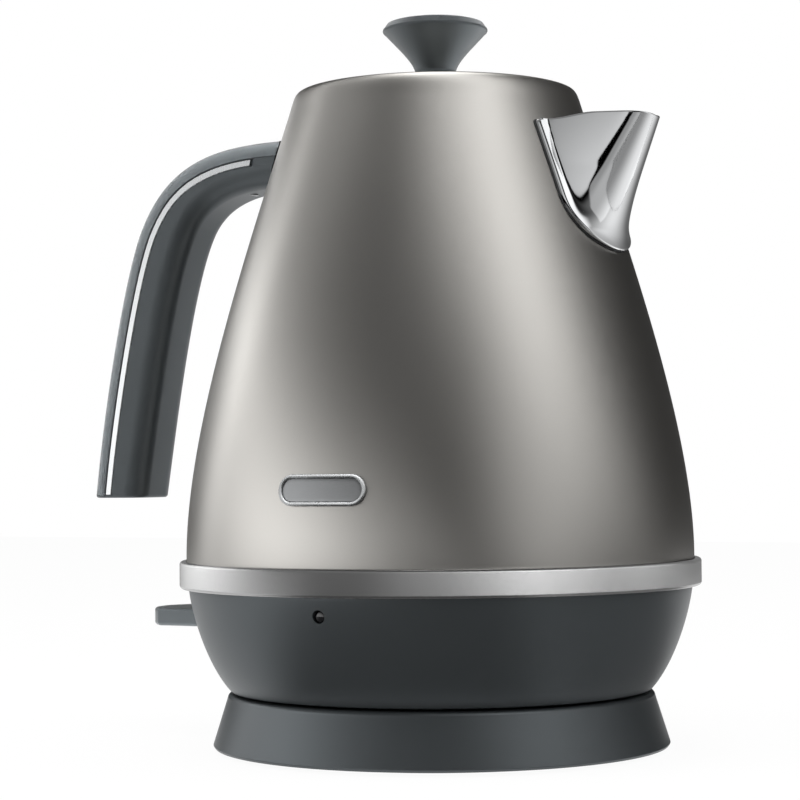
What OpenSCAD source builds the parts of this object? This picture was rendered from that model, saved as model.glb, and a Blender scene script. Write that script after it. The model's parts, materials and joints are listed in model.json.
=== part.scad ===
// Cordless electric kettle on a round power base.
// Origin: on the kettle's upright axis, at the surface the base stands on.
// +X points along the spout, -X along the handle, +Z up. Millimetres.

/* [Power base] */
// Radius of the power base where it meets the table
base_r = 77; // [76:0.5:79]
// Radius of the power base at its top edge
base_top_r = 71; // [70:0.5:73]
// Height of the power base with its rubber ring
base_h = 19.2; // [19:0.1:19.4]
// Height of the rubber ring under the power base
foot_h = 1.2; // [1:0.1:1.4]
// Inside radius of the cord gland
cord_bore_r = 3.6; // [3:0.1:4]

/* [Kettle body] */
// Thickness of the steel wall
wall = 0.8; // [0.6:0.1:1]
// Outer radius of the bright band round the bottom of the body
ring_r = 88; // [87.5:0.1:89]
// Height at which the bright band starts
ring_z = 54.7; // [54.5:0.1:55]
// Height of the bright band
ring_h = 9; // [8:0.5:10]
// Height of the underside of the kettle
under_z = 20; // [19.9:0.1:20.2]

/* [Handle] */
// Width of the handle from side to side
handle_w = 24; // [22:0.5:26]
// Radius of the handle's outer long edges
handle_edge_r = 5; // [4:0.5:5.5]
// Radius of the handle's inner long edges
grip_edge_r = 7; // [5:0.1:7]
// Distance of the metal inlay from the outer face of the handle
inlay_from = 6; // [5.5:0.1:7]
// Width of the metal inlay
inlay_w = 2.6; // [2:0.1:3]

/* [Lid and knob] */
// Radius of the metal lid
lid_r = 42.1; // [41.5:0.1:42.2]
// Radius of the knob's rim
knob_r = 17.9; // [16:0.1:19]
// Radius of the knob's neck
knob_neck_r = 6.9; // [6:0.1:7.5]
// Height of the top of the knob
knob_top_z = 247.3; // [246:0.1:249]

/* [Spout] */
// Half of the spout flange's width
spout_half_w = 23.6; // [22:0.1:24]
// Height of the spout's pouring edge
spout_top_z = 207.6; // [206:0.1:208]
// Radius of the spout's nose at the pouring edge
nose_r = 12.4; // [11.5:0.1:13]
// Thickness of the spout's wall
spout_wall = 1.2; // [1:0.1:1.5]

/* [Switch lever] */
// Width of the switch lever
lever_w = 28; // [26:0.5:29]
// Thickness of the switch lever
lever_t = 6.2; // [5:0.1:6.5]
// Distance of the lever's tip from the kettle's axis
lever_reach = 112.1; // [108:0.1:115]
// Height of the lever's pin above the table
lever_z = 42.4; // [42:0.1:42.6]

/* [Hidden] */

$fn = 96;
gap = 0.3;
eps = 0.01;

slate = "#4b5357";
champagne = "#9a9790";
bright = "#c9cbcd";
black = "#1d1e20";
brass = "#c7a24c";
silicone = "#2b2c2e";
steel = "#a9abad";

// ---- curves -------------------------------------------------------------

// Points along a cubic curve with the four control points p.
function curve(p, n) =
    [for (i = [0:n]) let (t = i / n, s = 1 - t)
        s*s*s*p[0] + 3*s*s*t*p[1] + 3*s*t*t*p[2] + t*t*t*p[3]];

// Points along an arc round c, from angle a to angle b.
function arc(c, r, a, b, n) =
    [for (i = [0:n]) let (w = a + (b - a) * i / n) c + r * [cos(w), sin(w)]];

function tail(v) = [for (i = [1:len(v) - 1]) v[i]];
function reversed(v) = [for (i = [len(v) - 1:-1:0]) v[i]];
function between(a, b, f) = a + (b - a) * f;

// ---- kettle body --------------------------------------------------------

// The outside of the steel wall, as [radius, height], and its rolled top edge.
shell_bottom_z = 57;
wall_curve = curve([[85.4, shell_bottom_z], [88.3, 99.5], [65.5, 165.5], [50.3, 213.6]], 26);
edge_curve = curve([[50.3, 213.6], [48.3, 220], [48.2, 221.7], [45.6, 221.7]], 8);
edge_inside = curve([[50.3 - wall, 213.4], [47.6, 219.4], [47.4, 220.8], [45.2, 220.9]], 8);
mouth_r = 42.6;
mouth_z = 221.6;

// Radius of the outside of the steel wall at height z.
function wall_r(z) = lookup(z, [for (p = wall_curve) [p[1], p[0]]]);

// A layer that follows the wall, from d0 to d1 outside it, between two heights.
module wall_layer(d0, d1, z0, z1, n = 12) {
    heights = [for (i = [0:n]) z0 + (z1 - z0) * i / n];
    outside = [for (z = heights) [wall_r(z) + d1, z]];
    inside = [for (z = reversed(heights)) [wall_r(z) + d0, z]];
    rotate_extrude() polygon(concat(outside, inside));
}

// The space inside the wall, grown by d.
module wall_solid(d, z0, z1, n = 12) {
    heights = [for (i = [0:n]) z0 + (z1 - z0) * i / n];
    outside = [for (z = heights) [wall_r(z) + d, z]];
    rotate_extrude() polygon(concat([[0, z0]], outside, [[0, z1]]));
}

// A flat outline in [y, z] pushed along X from x0 to x1.
module along_x(x0, x1) {
    translate([x0, 0, 0])
        rotate([90, 0, 90])
            linear_extrude(x1 - x0) children();
}

// A flat outline in [x, z] pushed along Y from y0 to y1.
module along_y(y0, y1) {
    translate([0, y1, 0])
        rotate([90, 0, 0])
            linear_extrude(y1 - y0) children();
}

// A bar with round ends, l long over all and h high.
module slot_2d(l, h) {
    square([l - h, h], center = true);
    for (s = [-1, 1]) translate([s * (l - h) / 2, 0]) circle(h / 2);
}

module ring(r0, r1, z0, z1) {
    rotate_extrude() translate([r0, z0]) square([r1 - r0, z1 - z0]);
}

module at_angles(r, angles) {
    for (a = angles) rotate([0, 0, a]) translate([r, 0, 0]) children();
}

// ---- power base ---------------------------------------------------------

plate_z = 3;
deck_t = 2;
deck_z = base_h - deck_t;
connector_r = 11.5;
connector_top = 31;
base_screw_r = 50;
base_screw_at = [30, 150, 270];
gland_z = 8.6;
gland_r = 5.4;
gland_face = 75.2;

module base_housing() {
    skirt = [[base_r - 0.6, foot_h], [base_r, foot_h + 0.8],
             [base_top_r + 1.1, base_h - 1.6]];
    edge = arc([base_top_r - 0.6, base_h - 1.7], 1.7, 10, 90, 5);
    inside = [[connector_r + 0.5, base_h], [connector_r + 0.5, deck_z],
              [base_top_r - 2.5, deck_z], [base_r - 2.8, foot_h]];
    color(slate) difference() {
        union() {
            rotate_extrude() polygon(concat(skirt, edge, inside));
            at_angles(base_screw_r, base_screw_at)
                translate([0, 0, 6.2]) cylinder(h = deck_z - 6, r = 3.6);
        }
        at_angles(base_screw_r, base_screw_at)
            translate([0, 0, 6]) cylinder(h = 9, r = 1.5);
        translate([0, base_r - 8, gland_z])
            rotate([-90, 0, 0]) cylinder(h = 12, r = gland_r + 0.2);
    }
}

module base_plate() {
    color(slate) difference() {
        union() {
            ring(0, base_r - 3.8, foot_h, plate_z);
            at_angles(base_screw_r, base_screw_at)
                translate([0, 0, foot_h]) cylinder(h = 6 - foot_h, r = 5);
        }
        at_angles(base_screw_r, base_screw_at) {
            translate([0, 0, foot_h - 1]) cylinder(h = 4, r = 3.4);
            cylinder(h = 10, r = 1.7);
        }
    }
}

module base_foot_ring() {
    color(silicone) ring(61, 68, 0, foot_h);
}

module screw(length, head_r, head_h, shank_r) {
    difference() {
        cylinder(h = head_h, r = head_r);
        translate([0, 0, head_h / 4 - eps]) cube([head_r * 1.4, 0.6, head_h / 2], center = true);
        translate([0, 0, head_h / 4 - eps]) cube([0.6, head_r * 1.4, head_h / 2], center = true);
    }
    translate([0, 0, head_h]) cylinder(h = length, r = shank_r);
}

module base_screws() {
    color(steel) at_angles(base_screw_r, base_screw_at)
        translate([0, 0, 2.2]) screw(9.5, 3.1, 2, 1.4);
}

module base_connector() {
    color(black) difference() {
        rotate_extrude() polygon([[2.2, connector_top], [connector_r - 1.4, connector_top],
            [connector_r, connector_top - 1.4], [connector_r, deck_z - gap],
            [22, deck_z - gap], [22, 14.7], [9.5, 14.7], [9.5, 28.8], [2.2, 28.8]]);
        ring(connector_r - 0.7, connector_r + 1, 20.6, 22.6);
        ring(connector_r - 0.7, connector_r + 1, 25, 27);
    }
}

module connector_insert() {
    color("#5a5148") difference() {
        ring(2.9, 9.4, 14.7, 19);
        at_angles(6, [60, 90, 120]) translate([0, 0, 14]) cylinder(h = 3, r = 1.15);
    }
}

module connector_contacts() {
    color(brass) {
        ring(1.8, 2.8, 15.5, 28.4);
        ring(connector_r - 0.65, connector_r + 0.1, 20.7, 22.5);
        ring(connector_r - 0.65, connector_r + 0.1, 25.1, 26.9);
    }
}

module cord_gland() {
    color(black) translate([0, gland_face, gland_z]) rotate([90, 0, 0]) difference() {
        cylinder(h = 10, r = gland_r);
        translate([0, 0, -1]) cylinder(h = 12, r = cord_bore_r);
    }
}

module terminal_block() {
    color("#d8d4c8") difference() {
        translate([-10, 52, plate_z]) cube([20, 9, 10]);
        for (x = [-6, 0, 6]) translate([x, 51, 9])
            rotate([-90, 0, 0]) cylinder(h = 11, r = 1.2);
        for (x = [-6, 0, 6]) translate([x, 56.5, 9]) cylinder(h = 5, r = 1.5);
    }
}

module base_leads() {
    color("#7a4a2c") for (k = [-1, 0, 1]) {
        a = 90 + 30 * k;
        p = 6 * [cos(a), sin(a)];
        translate([p[0], p[1], 9]) {
            cylinder(h = 7.5, r = 1.05);
            sphere(1.05, $fn = 24);
        }
        run = [-6 * k, 55] - p;
        translate([p[0], p[1], 9])
            rotate([0, 0, atan2(run[1], run[0])])
                rotate([0, 90, 0]) cylinder(h = norm(run), r = 1.05);
    }
}

// ---- connector in the kettle --------------------------------------------

socket_top = 34;

module socket() {
    r = connector_r + 0.5;
    color(black) rotate_extrude() polygon([[r, under_z + 0.6], [18.6, under_z + 0.6],
        [18.6, socket_top], [2.1, socket_top], [2.1, 32], [r, 32]]);
}

module socket_contacts() {
    color(brass) {
        translate([0, 0, 23]) cylinder(h = 15, r = 1.5);
        ring(2.2, 4.4, socket_top + 0.1, socket_top + 0.5);
        ring(9, 10.5, socket_top + 0.1, socket_top + 0.5);
    }
}

// ---- kettle: shell and base parts ---------------------------------------

gauge_z = 128;
gauge_l = 84;
gauge_w = 12;
spout_hole = [[-13, 203], [13, 203], [12, 188], [5, 175], [-5, 175], [-12, 188]];

module body_shell() {
    outside = concat(wall_curve, tail(edge_curve), [[mouth_r, mouth_z]]);
    inside = concat([for (p = wall_curve) [p[0] - wall, p[1]]], tail(edge_inside),
        [[mouth_r, mouth_z - wall]]);
    color(champagne) difference() {
        rotate_extrude() polygon(concat(outside, reversed(inside)));
        along_x(40, 80) polygon(spout_hole);
        along_x(-95, -50) translate([0, gauge_z]) rotate([0, 0, 90]) slot_2d(gauge_l, gauge_w);
    }
}

module mouth_ring() {
    top = mouth_z - 1.2;
    color(black) rotate_extrude() polygon([[38.5, top - 13.4], [40.5, top - 13.4], [40.5, top - 1.8],
        [44.2, top - 1.8], [44.2, top], [38.5, top]]);
}

module trim_ring() {
    corner = 2;
    top = ring_z + ring_h;
    section = concat([[wall_r(60) + gap, ring_z]],
        arc([ring_r - corner, ring_z + corner], corner, -90, 0, 6),
        arc([ring_r - corner, top - corner], corner, 0, 90, 6),
        [[wall_r(60) + gap, top]]);
    color(bright) rotate_extrude() polygon(section);
}

housing_curve = curve([[84.9, 54.4], [84.3, 47.5], [79.5, 29.6], [71.3, under_z + 0.4]], 14);
lens_z = 48.9;
lens_r = 2;
lever_x = -70;
cover_r = 66.2;
ledge_r = 59;
cover_screw_r = 63;
cover_screw_at = [60, 140, 220, 300];

module lower_housing() {
    t = 2.5;
    outside = concat([[84.9, shell_bottom_z - gap]], housing_curve, [[70.6, under_z]]);
    inside = concat([[cover_r + gap, under_z], [cover_r + gap, under_z + 2.3],
        [ledge_r, under_z + 2.3], [ledge_r, under_z + 4.3]],
        [for (p = reversed(housing_curve)) [p[0] - t, max(p[1], under_z + 4.3)]],
        [[84.9 - t, shell_bottom_z - gap]]);
    color(slate) difference() {
        union() {
            rotate_extrude() polygon(concat(outside, inside));
            at_angles(cover_screw_r, cover_screw_at)
                translate([0, 0, under_z + 2.3]) cylinder(h = 9, r = 3);
        }
        at_angles(cover_screw_r, cover_screw_at)
            translate([0, 0, under_z]) cylinder(h = 10, r = 1.4);
        translate([-92, -lever_w / 2 - 0.8, 35.6]) cube([20, lever_w + 1.6, 10.6]);
        translate([0, -70, lens_z]) rotate([90, 0, 0]) cylinder(h = 20, r = lens_r + 0.1);
    }
}

module bottom_cover() {
    color(slate) difference() {
        ring(19.4, cover_r, under_z, under_z + 2.2);
        at_angles(cover_screw_r, cover_screw_at) {
            translate([0, 0, under_z - 1]) cylinder(h = 2.2, r = 2.9);
            translate([0, 0, under_z]) cylinder(h = 3, r = 1.6);
        }
    }
}

module cover_screws() {
    color(steel) at_angles(cover_screw_r, cover_screw_at)
        translate([0, 0, under_z + 0.2]) screw(8.5, 2.6, 1, 1.3);
}

// ---- kettle: heating and control ----------------------------------------

floor_z = 60;
floor_rim_r = 83;
spreader_t = 2.4;
element_r = 46;
element_rod_r = 3.3;
element_z = floor_z - spreader_t - element_rod_r;
tube_from = [-66, 22, 52.5];
tube_to = [-41, 22, 205];
tube_r = 4;

// A round bar of radius r from point a to point b.
module bar(a, b, r) {
    d = b - a;
    translate(a)
        rotate([0, atan2(norm([d[0], d[1]]), d[2]), atan2(d[1], d[0])])
            cylinder(h = norm(d), r = r);
}

module floor_plate() {
    r = floor_rim_r;
    color(steel) difference() {
        rotate_extrude() polygon([[0, floor_z], [r - 2.4, floor_z], [r, floor_z + 2.4], [r, floor_z + 8],
            [r - 0.8, floor_z + 8], [r - 0.8, floor_z + 2.8], [r - 2.8, floor_z + 0.8],
            [0, floor_z + 0.8]]);
        bar(tube_from, tube_to, tube_r + 0.1);
    }
}

module floor_gasket() {
    color(silicone) ring(floor_rim_r + 0.05, 84.5, floor_z + 2.6, floor_z + 7.4);
}

module heat_spreader() {
    color("#b7babd") ring(0, 58, floor_z - spreader_t, floor_z);
}

module heating_element() {
    open_angle = 50;
    color("#8f9296") {
        rotate([0, 0, open_angle / 2]) rotate_extrude(angle = 360 - open_angle)
            translate([element_r, element_z]) circle(element_rod_r);
        at_angles(element_r, [-open_angle / 2, open_angle / 2]) {
            translate([0, 0, element_z - 9]) cylinder(h = 9, r = element_rod_r);
            translate([0, 0, element_z - 14]) cylinder(h = 6, r = 1.2);
            sphere_at(element_z, element_rod_r);
        }
    }
}

module sphere_at(z, r) {
    translate([0, 0, z]) sphere(r);
}

module control_unit() {
    top = element_z - 2;
    color("#e2ded4") difference() {
        union() {
            ring(0, 30, socket_top + 0.9, top);
            ring(19.3, 24, under_z + 2.6, socket_top + 1);
        }
        translate([0, 0, 30]) cylinder(h = 9, r = 11.5);
    }
}

module bimetal_discs() {
    color(brass) for (x = [-12, 12]) translate([x, 0, element_z - 1.9]) cylinder(h = 0.6, r = 8);
}

rod_x = -60.5;
rod_r = 1.5;
ear_y = lever_w / 2 + 1.2;

module switch_block() {
    z0 = 47.4;
    z1 = 56.4;
    color("#efece4") difference() {
        union() {
            translate([-73, -20, z0]) cube([17, 50, z1 - z0]);
            for (s = [-1, 1]) translate([lever_x - 3, s * (ear_y + 1.6) - 1.6, lever_z - 4])
                cube([6, 3.2, z0 - lever_z + 4.5]);
        }
        translate([lever_x, -25, lever_z]) rotate([-90, 0, 0]) cylinder(h = 50, r = 2.05);
        translate([rod_x, 0, z0 - 1]) cylinder(h = 12, r = rod_r + 0.08);
        bar(tube_from, tube_to, tube_r + 0.1);
    }
}

module steam_tube() {
    color("#e9e9e6") difference() {
        bar(tube_from, tube_to, tube_r);
        bar(between(tube_from, tube_to, -0.01), between(tube_from, tube_to, 1.01), tube_r - 0.9);
    }
}

module kettle_leads() {
    color("#8a3b2e") {
        for (s = [-1, 1]) bar([31, s * 8, 42], [39.6, s * 18, 42], 1);
        bar([-31, -10, 50], [-55, -14, 50], 1);
        bar([-31, 10, 50], [-55, 14, 50], 1);
        for (s = [-1, 1]) bar([s * 1.3, -31, 46], [s * 1.3, -69, lens_z], 0.7);
    }
}

// ---- kettle: spout and filter -------------------------------------------

// The spout is a leaning cone: nose_r and nose_x at the pouring edge, and
// their change per millimetre going down.
nose_x = 67.4;
nose_grow = 0.336;
spout_side_r = 22;
nose_lean = 0.736;
spout_low_z = 170;
flange_t = 1;
gasket_t = 0.5;

module spout_flange_2d(w) {
    top = spout_top_z - 1;
    bottom = curve([[w, 182], [w, 170], [w * 0.55, 164.6], [0, 164.5]], 10);
    mirrored = [for (p = reversed(bottom)) [-p[0], p[1]]];
    polygon(concat([[-w, top], [w, top]], bottom, tail(mirrored)));
}

// A flat slice of the spout's nose, d inside its outer face.
module nose_slice(z, d) {
    down = spout_top_z - z;
    translate([nose_x - nose_lean * down, 0, z])
        cylinder(h = 0.1, r = nose_r + nose_grow * down - d, $fn = 64);
}

// The side walls run from the nose back into the body.
module spout_cone(d, z0, z1) {
    hull() {
        nose_slice(z0, d);
        nose_slice(z1, d);
        translate([44, 0, z0]) cylinder(h = 0.1, r = spout_side_r - d, $fn = 64);
        translate([34, 0, z1]) cylinder(h = 0.1, r = spout_side_r - d, $fn = 64);
    }
}

module spout() {
    color(bright) difference() {
        union() {
            intersection() {
                wall_layer(0, gasket_t + flange_t, 163, spout_top_z - 1);
                along_x(30, 90) spout_flange_2d(spout_half_w);
            }
            spout_cone(0, spout_low_z, spout_top_z - 0.1);
        }
        wall_solid(gasket_t, 160, 212);
        spout_cone(spout_wall, spout_low_z + 1.5, spout_top_z + 1);
    }
}

module spout_gasket() {
    color(silicone) difference() {
        intersection() {
            wall_layer(0, gasket_t, 163.4, spout_top_z - 1.2);
            along_x(30, 90) spout_flange_2d(spout_half_w + 0.5);
        }
        along_x(30, 90) polygon([[-16, 210], [16, 210], [16, 188], [7, 172], [-7, 172], [-16, 188]]);
    }
}

module filter_outline(grow) {
    polygon([[-17 - grow, 204 + grow], [17 + grow, 204 + grow], [15 + grow, 184],
        [7 + grow / 2, 172 - grow], [-7 - grow / 2, 172 - grow], [-15 - grow, 184]]);
}

module filter_clips() {
    color(steel) intersection() {
        wall_layer(-wall - 3.4, -wall - 0.05, 176, 200, 6);
        for (s = [-1, 1]) along_x(30, 80) translate([s * 20.6, 188]) square([2, 22], center = true);
    }
}

module filter_frame() {
    color(black) intersection() {
        wall_layer(-wall - 3.2, -wall - 1.2, 170, 205.4);
        along_x(20, 80) difference() {
            filter_outline(1.2);
            filter_outline(-1.5);
        }
    }
}

module filter_mesh() {
    color(steel) intersection() {
        wall_layer(-wall - 2.4, -wall - 2, 170, 205.4);
        along_x(20, 80) filter_outline(-1.55);
    }
}

// ---- kettle: handle -----------------------------------------------------

// The handle's outer and inner edges seen from the side, as [x, z].
handle_outer = concat(
    curve([[-55, 209], [-82.8, 209], [-102.7, 205.5], [-114.4, 181.3]], 16),
    tail(curve([[-114.4, 181.3], [-122.4, 164.9], [-131.8, 114.4], [-135, 84.5]], 10)));
handle_inner = concat(
    curve([[-60, 192.8], [-81.8, 192.8], [-89.5, 185], [-92.8, 179.4]], 16),
    tail(curve([[-92.8, 179.4], [-102.4, 162.9], [-110, 112.1], [-114.5, 84.5]], 10)));
last_ring = len(handle_outer) - 1;
half_w = handle_w / 2;
shell_t = 2;
grip_t = 2.5;
groove = 1;
corner_n = 4;
inlay_first_ring = 2;

function handle_depth(i) = norm(handle_inner[i] - handle_outer[i]);

// A point of ring i, u inside the outer edge and y to the side.
function handle_point(i, u, y) =
    let (p = between(handle_outer[i], handle_inner[i], u / handle_depth(i)))
    [p[0], y, p[1]];

// The outer shell of the handle, a channel with rounded outer corners.
function spine_section(i) = let (c = handle_edge_r, w = half_w)
    concat([[inlay_from, w]],
        arc([c, w - c], c, 90, 180, corner_n),
        arc([c, c - w], c, 180, 270, corner_n),
        [[inlay_from, -w], [inlay_from, shell_t - w]],
        arc([c, c - w], c - shell_t, 270, 180, corner_n),
        arc([c, w - c], c - shell_t, 180, 90, corner_n),
        [[inlay_from, w - shell_t]]);

// The inner shell, with a rebate for the metal inlay on both sides.
function grip_section(i) = let (c = grip_edge_r, w = half_w, d = handle_depth(i),
        a = inlay_from + 0.05, b = inlay_from + inlay_w, m = b + 0.3, e = b + 0.8,
        g = i < inlay_first_ring ? 0.05 : groove, t = w - grip_t)
    concat([[a, w - g], [b, w - g], [b, w]],
        arc([d - c, w - c], c, 90, 0, corner_n),
        arc([d - c, c - w], c, 0, -90, corner_n),
        [[b, -w], [b, g - w], [a, g - w], [a, -t], [m, -t], [e, -t]],
        arc([d - c, c - w], c - grip_t, -90, 0, corner_n),
        arc([d - c, w - c], c - grip_t, 0, 90, corner_n),
        [[e, t], [m, t], [a, t]]);

function inlay_section(i) = let (u0 = inlay_from + 0.1, u1 = inlay_from + inlay_w - 0.1)
    [[u0, half_w - groove + 0.05], [u0, half_w], [u1, half_w], [u1, half_w - groove + 0.05]];

// The cap fills the end of the handle between the two shells.
function cap_section(i) = let (d = handle_depth(i), c = handle_edge_r - shell_t, e = grip_edge_r - grip_t,
        w = half_w - grip_t - 0.1, u0 = shell_t + 0.1, u1 = d - grip_t - 0.1)
    concat(arc([u0 + c, w - c], c, 90, 180, corner_n), arc([u0 + c, c - w], c, 180, 270, corner_n),
        arc([u1 - e, e - w], e, 270, 360, corner_n), arc([u1 - e, w - e], e, 0, 90, corner_n));

// A solid through one section, a list of [u, y], for each of the rings.
// A channel's section runs along its outside, then back along its inside.
module sweep(rings, sections, channel = false) {
    n = len(sections[0]);
    m = len(rings);
    points = [for (k = [0:m - 1]) for (p = sections[k]) handle_point(rings[k], p[0], p[1])];
    sides = [for (k = [0:m - 2]) for (j = [0:n - 1]) let (a = k * n + j, b = k * n + (j + 1) % n)
        each [[a, a + n, b], [b, a + n, b + n]]];
    first = !channel ? [[for (j = [0:n - 1]) j]]
        : [for (j = [0:n / 2 - 2]) each [[j, j + 1, n - 2 - j], [j, n - 2 - j, n - 1 - j]]];
    last = [for (f = first) [for (j = reversed(f)) (m - 1) * n + j]];
    polyhedron(points, concat(sides, first, last), convexity = 6);
}

all_rings = [for (i = [0:last_ring]) i];

module handle_spine() {
    color(slate) sweep(all_rings, [for (i = all_rings) spine_section(i)], channel = true);
}

handle_screw_x = [-66, -74];

// Height of the handle's inner edge at x.
function handle_under(x) = lookup(x, handle_inner);

module handle_grip() {
    color(slate) difference() {
        sweep(all_rings, [for (i = all_rings) grip_section(i)], channel = true);
        for (x = handle_screw_x) translate([x, 0, handle_under(x)]) {
            translate([0, 0, -4]) cylinder(h = 5.4, r = 3.3);
            cylinder(h = 4, r = 1.8);
        }
    }
}

module handle_inlays() {
    rings = [for (i = [inlay_first_ring:last_ring]) i];
    color(bright) for (s = [0, 1]) mirror([0, s, 0])
        sweep(rings, [for (i = rings) inlay_section(i)]);
}

module handle_end_cap() {
    rings = [last_ring - 1, last_ring];
    color(slate) sweep(rings, [for (i = rings) cap_section(i)]);
}

root_mid = between(handle_outer[0], handle_inner[0], 0.5);
root_tilt = atan2(handle_outer[0][0] - handle_inner[0][0], handle_outer[0][1] - handle_inner[0][1]);

module at_root() {
    translate([root_mid[0], 0, root_mid[1]]) rotate([0, root_tilt, 0]) children();
}

module handle_pad() {
    h = handle_depth(0);
    color(silicone) difference() {
        at_root() translate([0.05, 0, 0]) difference() {
            translate([0, -half_w + 0.5, -h / 2 + 0.5]) cube([8, handle_w - 1, h - 1]);
            translate([-1, -8.5, -6.5]) cube([10, 17, 13]);
        }
        wall_solid(0, 185, 212);
    }
}

module handle_bracket() {
    color(steel) difference() {
        union() {
            at_root() difference() {
                translate([-0.5, -8, -4.3]) cube([7, 16, 10.3]);
                translate([1, -20, -8]) cube([10, 40, 20]);
            }
            translate([-82, -6, 199.3]) cube([26, 12, 1.8]);
        }
        for (x = handle_screw_x) translate([x, 0, 195]) cylinder(h = 10, r = 1.6);
        wall_solid(0.1, 185, 212);
    }
}

module handle_screws() {
    color(steel) for (x = handle_screw_x)
        translate([x, 0, handle_under(x) + 0.2]) screw(9.5, 2.9, 1.2, 1.5);
}

// ---- kettle: gauge, badge, lamp -----------------------------------------

module gauge_outline(grow) {
    translate([0, gauge_z]) rotate([0, 0, 90]) slot_2d(gauge_l + 2 * grow, gauge_w + 2 * grow);
}

module gauge_window() {
    color("#bcd3dc") intersection() {
        wall_layer(-wall - 0.7, 1.2, gauge_z - gauge_l / 2 - 1, gauge_z + gauge_l / 2 + 1);
        along_x(-95, -50) gauge_outline(-1.2);
    }
}

module gauge_seal() {
    color(silicone) difference() {
        intersection() {
            wall_layer(-wall - 0.7, 0.8, gauge_z - gauge_l / 2 - 1, gauge_z + gauge_l / 2 + 1);
            along_x(-95, -50) gauge_outline(-0.05);
        }
        along_x(-95, -50) gauge_outline(-1.15);
    }
}

badge_z = 87.8;
badge_l = 30.4;
badge_h = 9.8;
badge_turn = 0.9;

module badge_rim() {
    color(bright) rotate([0, 0, badge_turn]) intersection() {
        wall_layer(0.05, 1.5, badge_z - 7, badge_z + 7, 6);
        along_y(-92, -70) translate([0, badge_z]) difference() {
            slot_2d(badge_l, badge_h);
            slot_2d(badge_l - 2.6, badge_h - 2.6);
        }
    }
}

module badge_field() {
    color("#8d9092") rotate([0, 0, badge_turn]) intersection() {
        wall_layer(0.05, 0.8, badge_z - 7, badge_z + 7, 6);
        along_y(-92, -70) translate([0, badge_z]) slot_2d(badge_l - 2.8, badge_h - 2.8);
    }
}

module pilot_lens() {
    color(black) translate([0, 0, lens_z]) rotate([90, 0, 0]) {
        translate([0, 0, 77]) cylinder(h = 6.2, r = lens_r);
        translate([0, 0, 77]) cylinder(h = 2, r = lens_r + 1);
    }
}

module pilot_lamp() {
    color("#d9dde0") translate([0, -70, lens_z]) rotate([90, 0, 0]) cylinder(h = 6.6, r = 2.4);
}

// ---- lid ----------------------------------------------------------------

cap_edge_z = mouth_z - 0.7;
cap_top_z = mouth_z + 2.6;

module lid_cap() {
    top = curve([[knob_neck_r, cap_top_z], [20, cap_top_z], [34, cap_top_z - 0.8],
        [lid_r - 0.5, cap_edge_z + 1]], 8);
    under = curve([[36, cap_edge_z + 0.5], [28, cap_top_z - 1.5], [18, cap_top_z - 1.1],
        [4.2, cap_top_z - 1.1]], 6);
    color(champagne) rotate_extrude() polygon(concat([[4.2, cap_top_z]], top,
        [[lid_r, cap_edge_z + 0.6], [lid_r, cap_edge_z], [37.9, cap_edge_z]], under));
}

module lid_inner() {
    z = cap_edge_z - 0.2;
    color(black) rotate_extrude() polygon([[3.2, z - 2.6], [3.2, z], [36, z],
        [37.4, z - 1.2], [37.4, z - 4], [36.6, z - 4], [36.6, z - 6.8], [37.4, z - 6.8],
        [37.4, z - 10.2], [35.4, z - 10.2], [35.4, z - 2.6]]);
}

module lid_seal() {
    color(silicone) ring(36.7, 38.15, cap_edge_z - 6.9, cap_edge_z - 4.3);
}

module knob() {
    neck = knob_neck_r;
    flare = curve([[neck, 229.3], [neck + 1, 233], [11.5, 236.3], [knob_r - 0.8, knob_top_z - 5]], 10);
    rim = arc([knob_r - 0.9, knob_top_z - 3.9], 0.9, -40, 60, 4);
    dome = curve([[16.4, knob_top_z - 1.6], [14, knob_top_z - 0.5], [7, knob_top_z], [0, knob_top_z]], 6);
    color(slate) difference() {
        rotate_extrude() polygon(concat([[0, cap_top_z - 1], [4, cap_top_z - 1], [4, cap_top_z + 0.05],
            [neck, cap_top_z + 0.05]], flare, rim, dome));
        translate([0, 0, 220]) cylinder(h = 18, r = 1.6);
    }
}

module knob_screw() {
    color(steel) translate([0, 0, cap_edge_z - 4.2]) screw(18, 3, 1.3, 1.5);
}

// ---- switch lever -------------------------------------------------------

module power_lever() {
    w = lever_w / 2;
    sag = 7.5;
    tip_r = (w * w + sag * sag) / (2 * sag);
    half = asin(w / tip_r);
    tip = arc([-lever_reach + tip_r, 0], tip_r, 180 - half, 180 + half, 12);
    color(slate) difference() {
        union() {
            translate([0, 0, lever_z - lever_t / 2]) linear_extrude(lever_t)
                polygon(concat([[-66, w]], tip, [[-66, -w]]));
            translate([-67, -5, lever_z - lever_t / 2]) cube([7.5, 10, lever_t]);
        }
        translate([lever_x, -30, lever_z]) rotate([-90, 0, 0]) cylinder(h = 60, r = 2.02);
    }
}

module lever_pin() {
    l = lever_w + 8;
    color(steel) translate([lever_x, -l / 2, lever_z]) rotate([-90, 0, 0]) cylinder(h = l, r = 2);
}

module push_rod() {
    color("#efece4") translate([rod_x, 0, lever_z + lever_t / 2 + 0.5]) cylinder(h = 8.6, r = rod_r);
}

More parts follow.
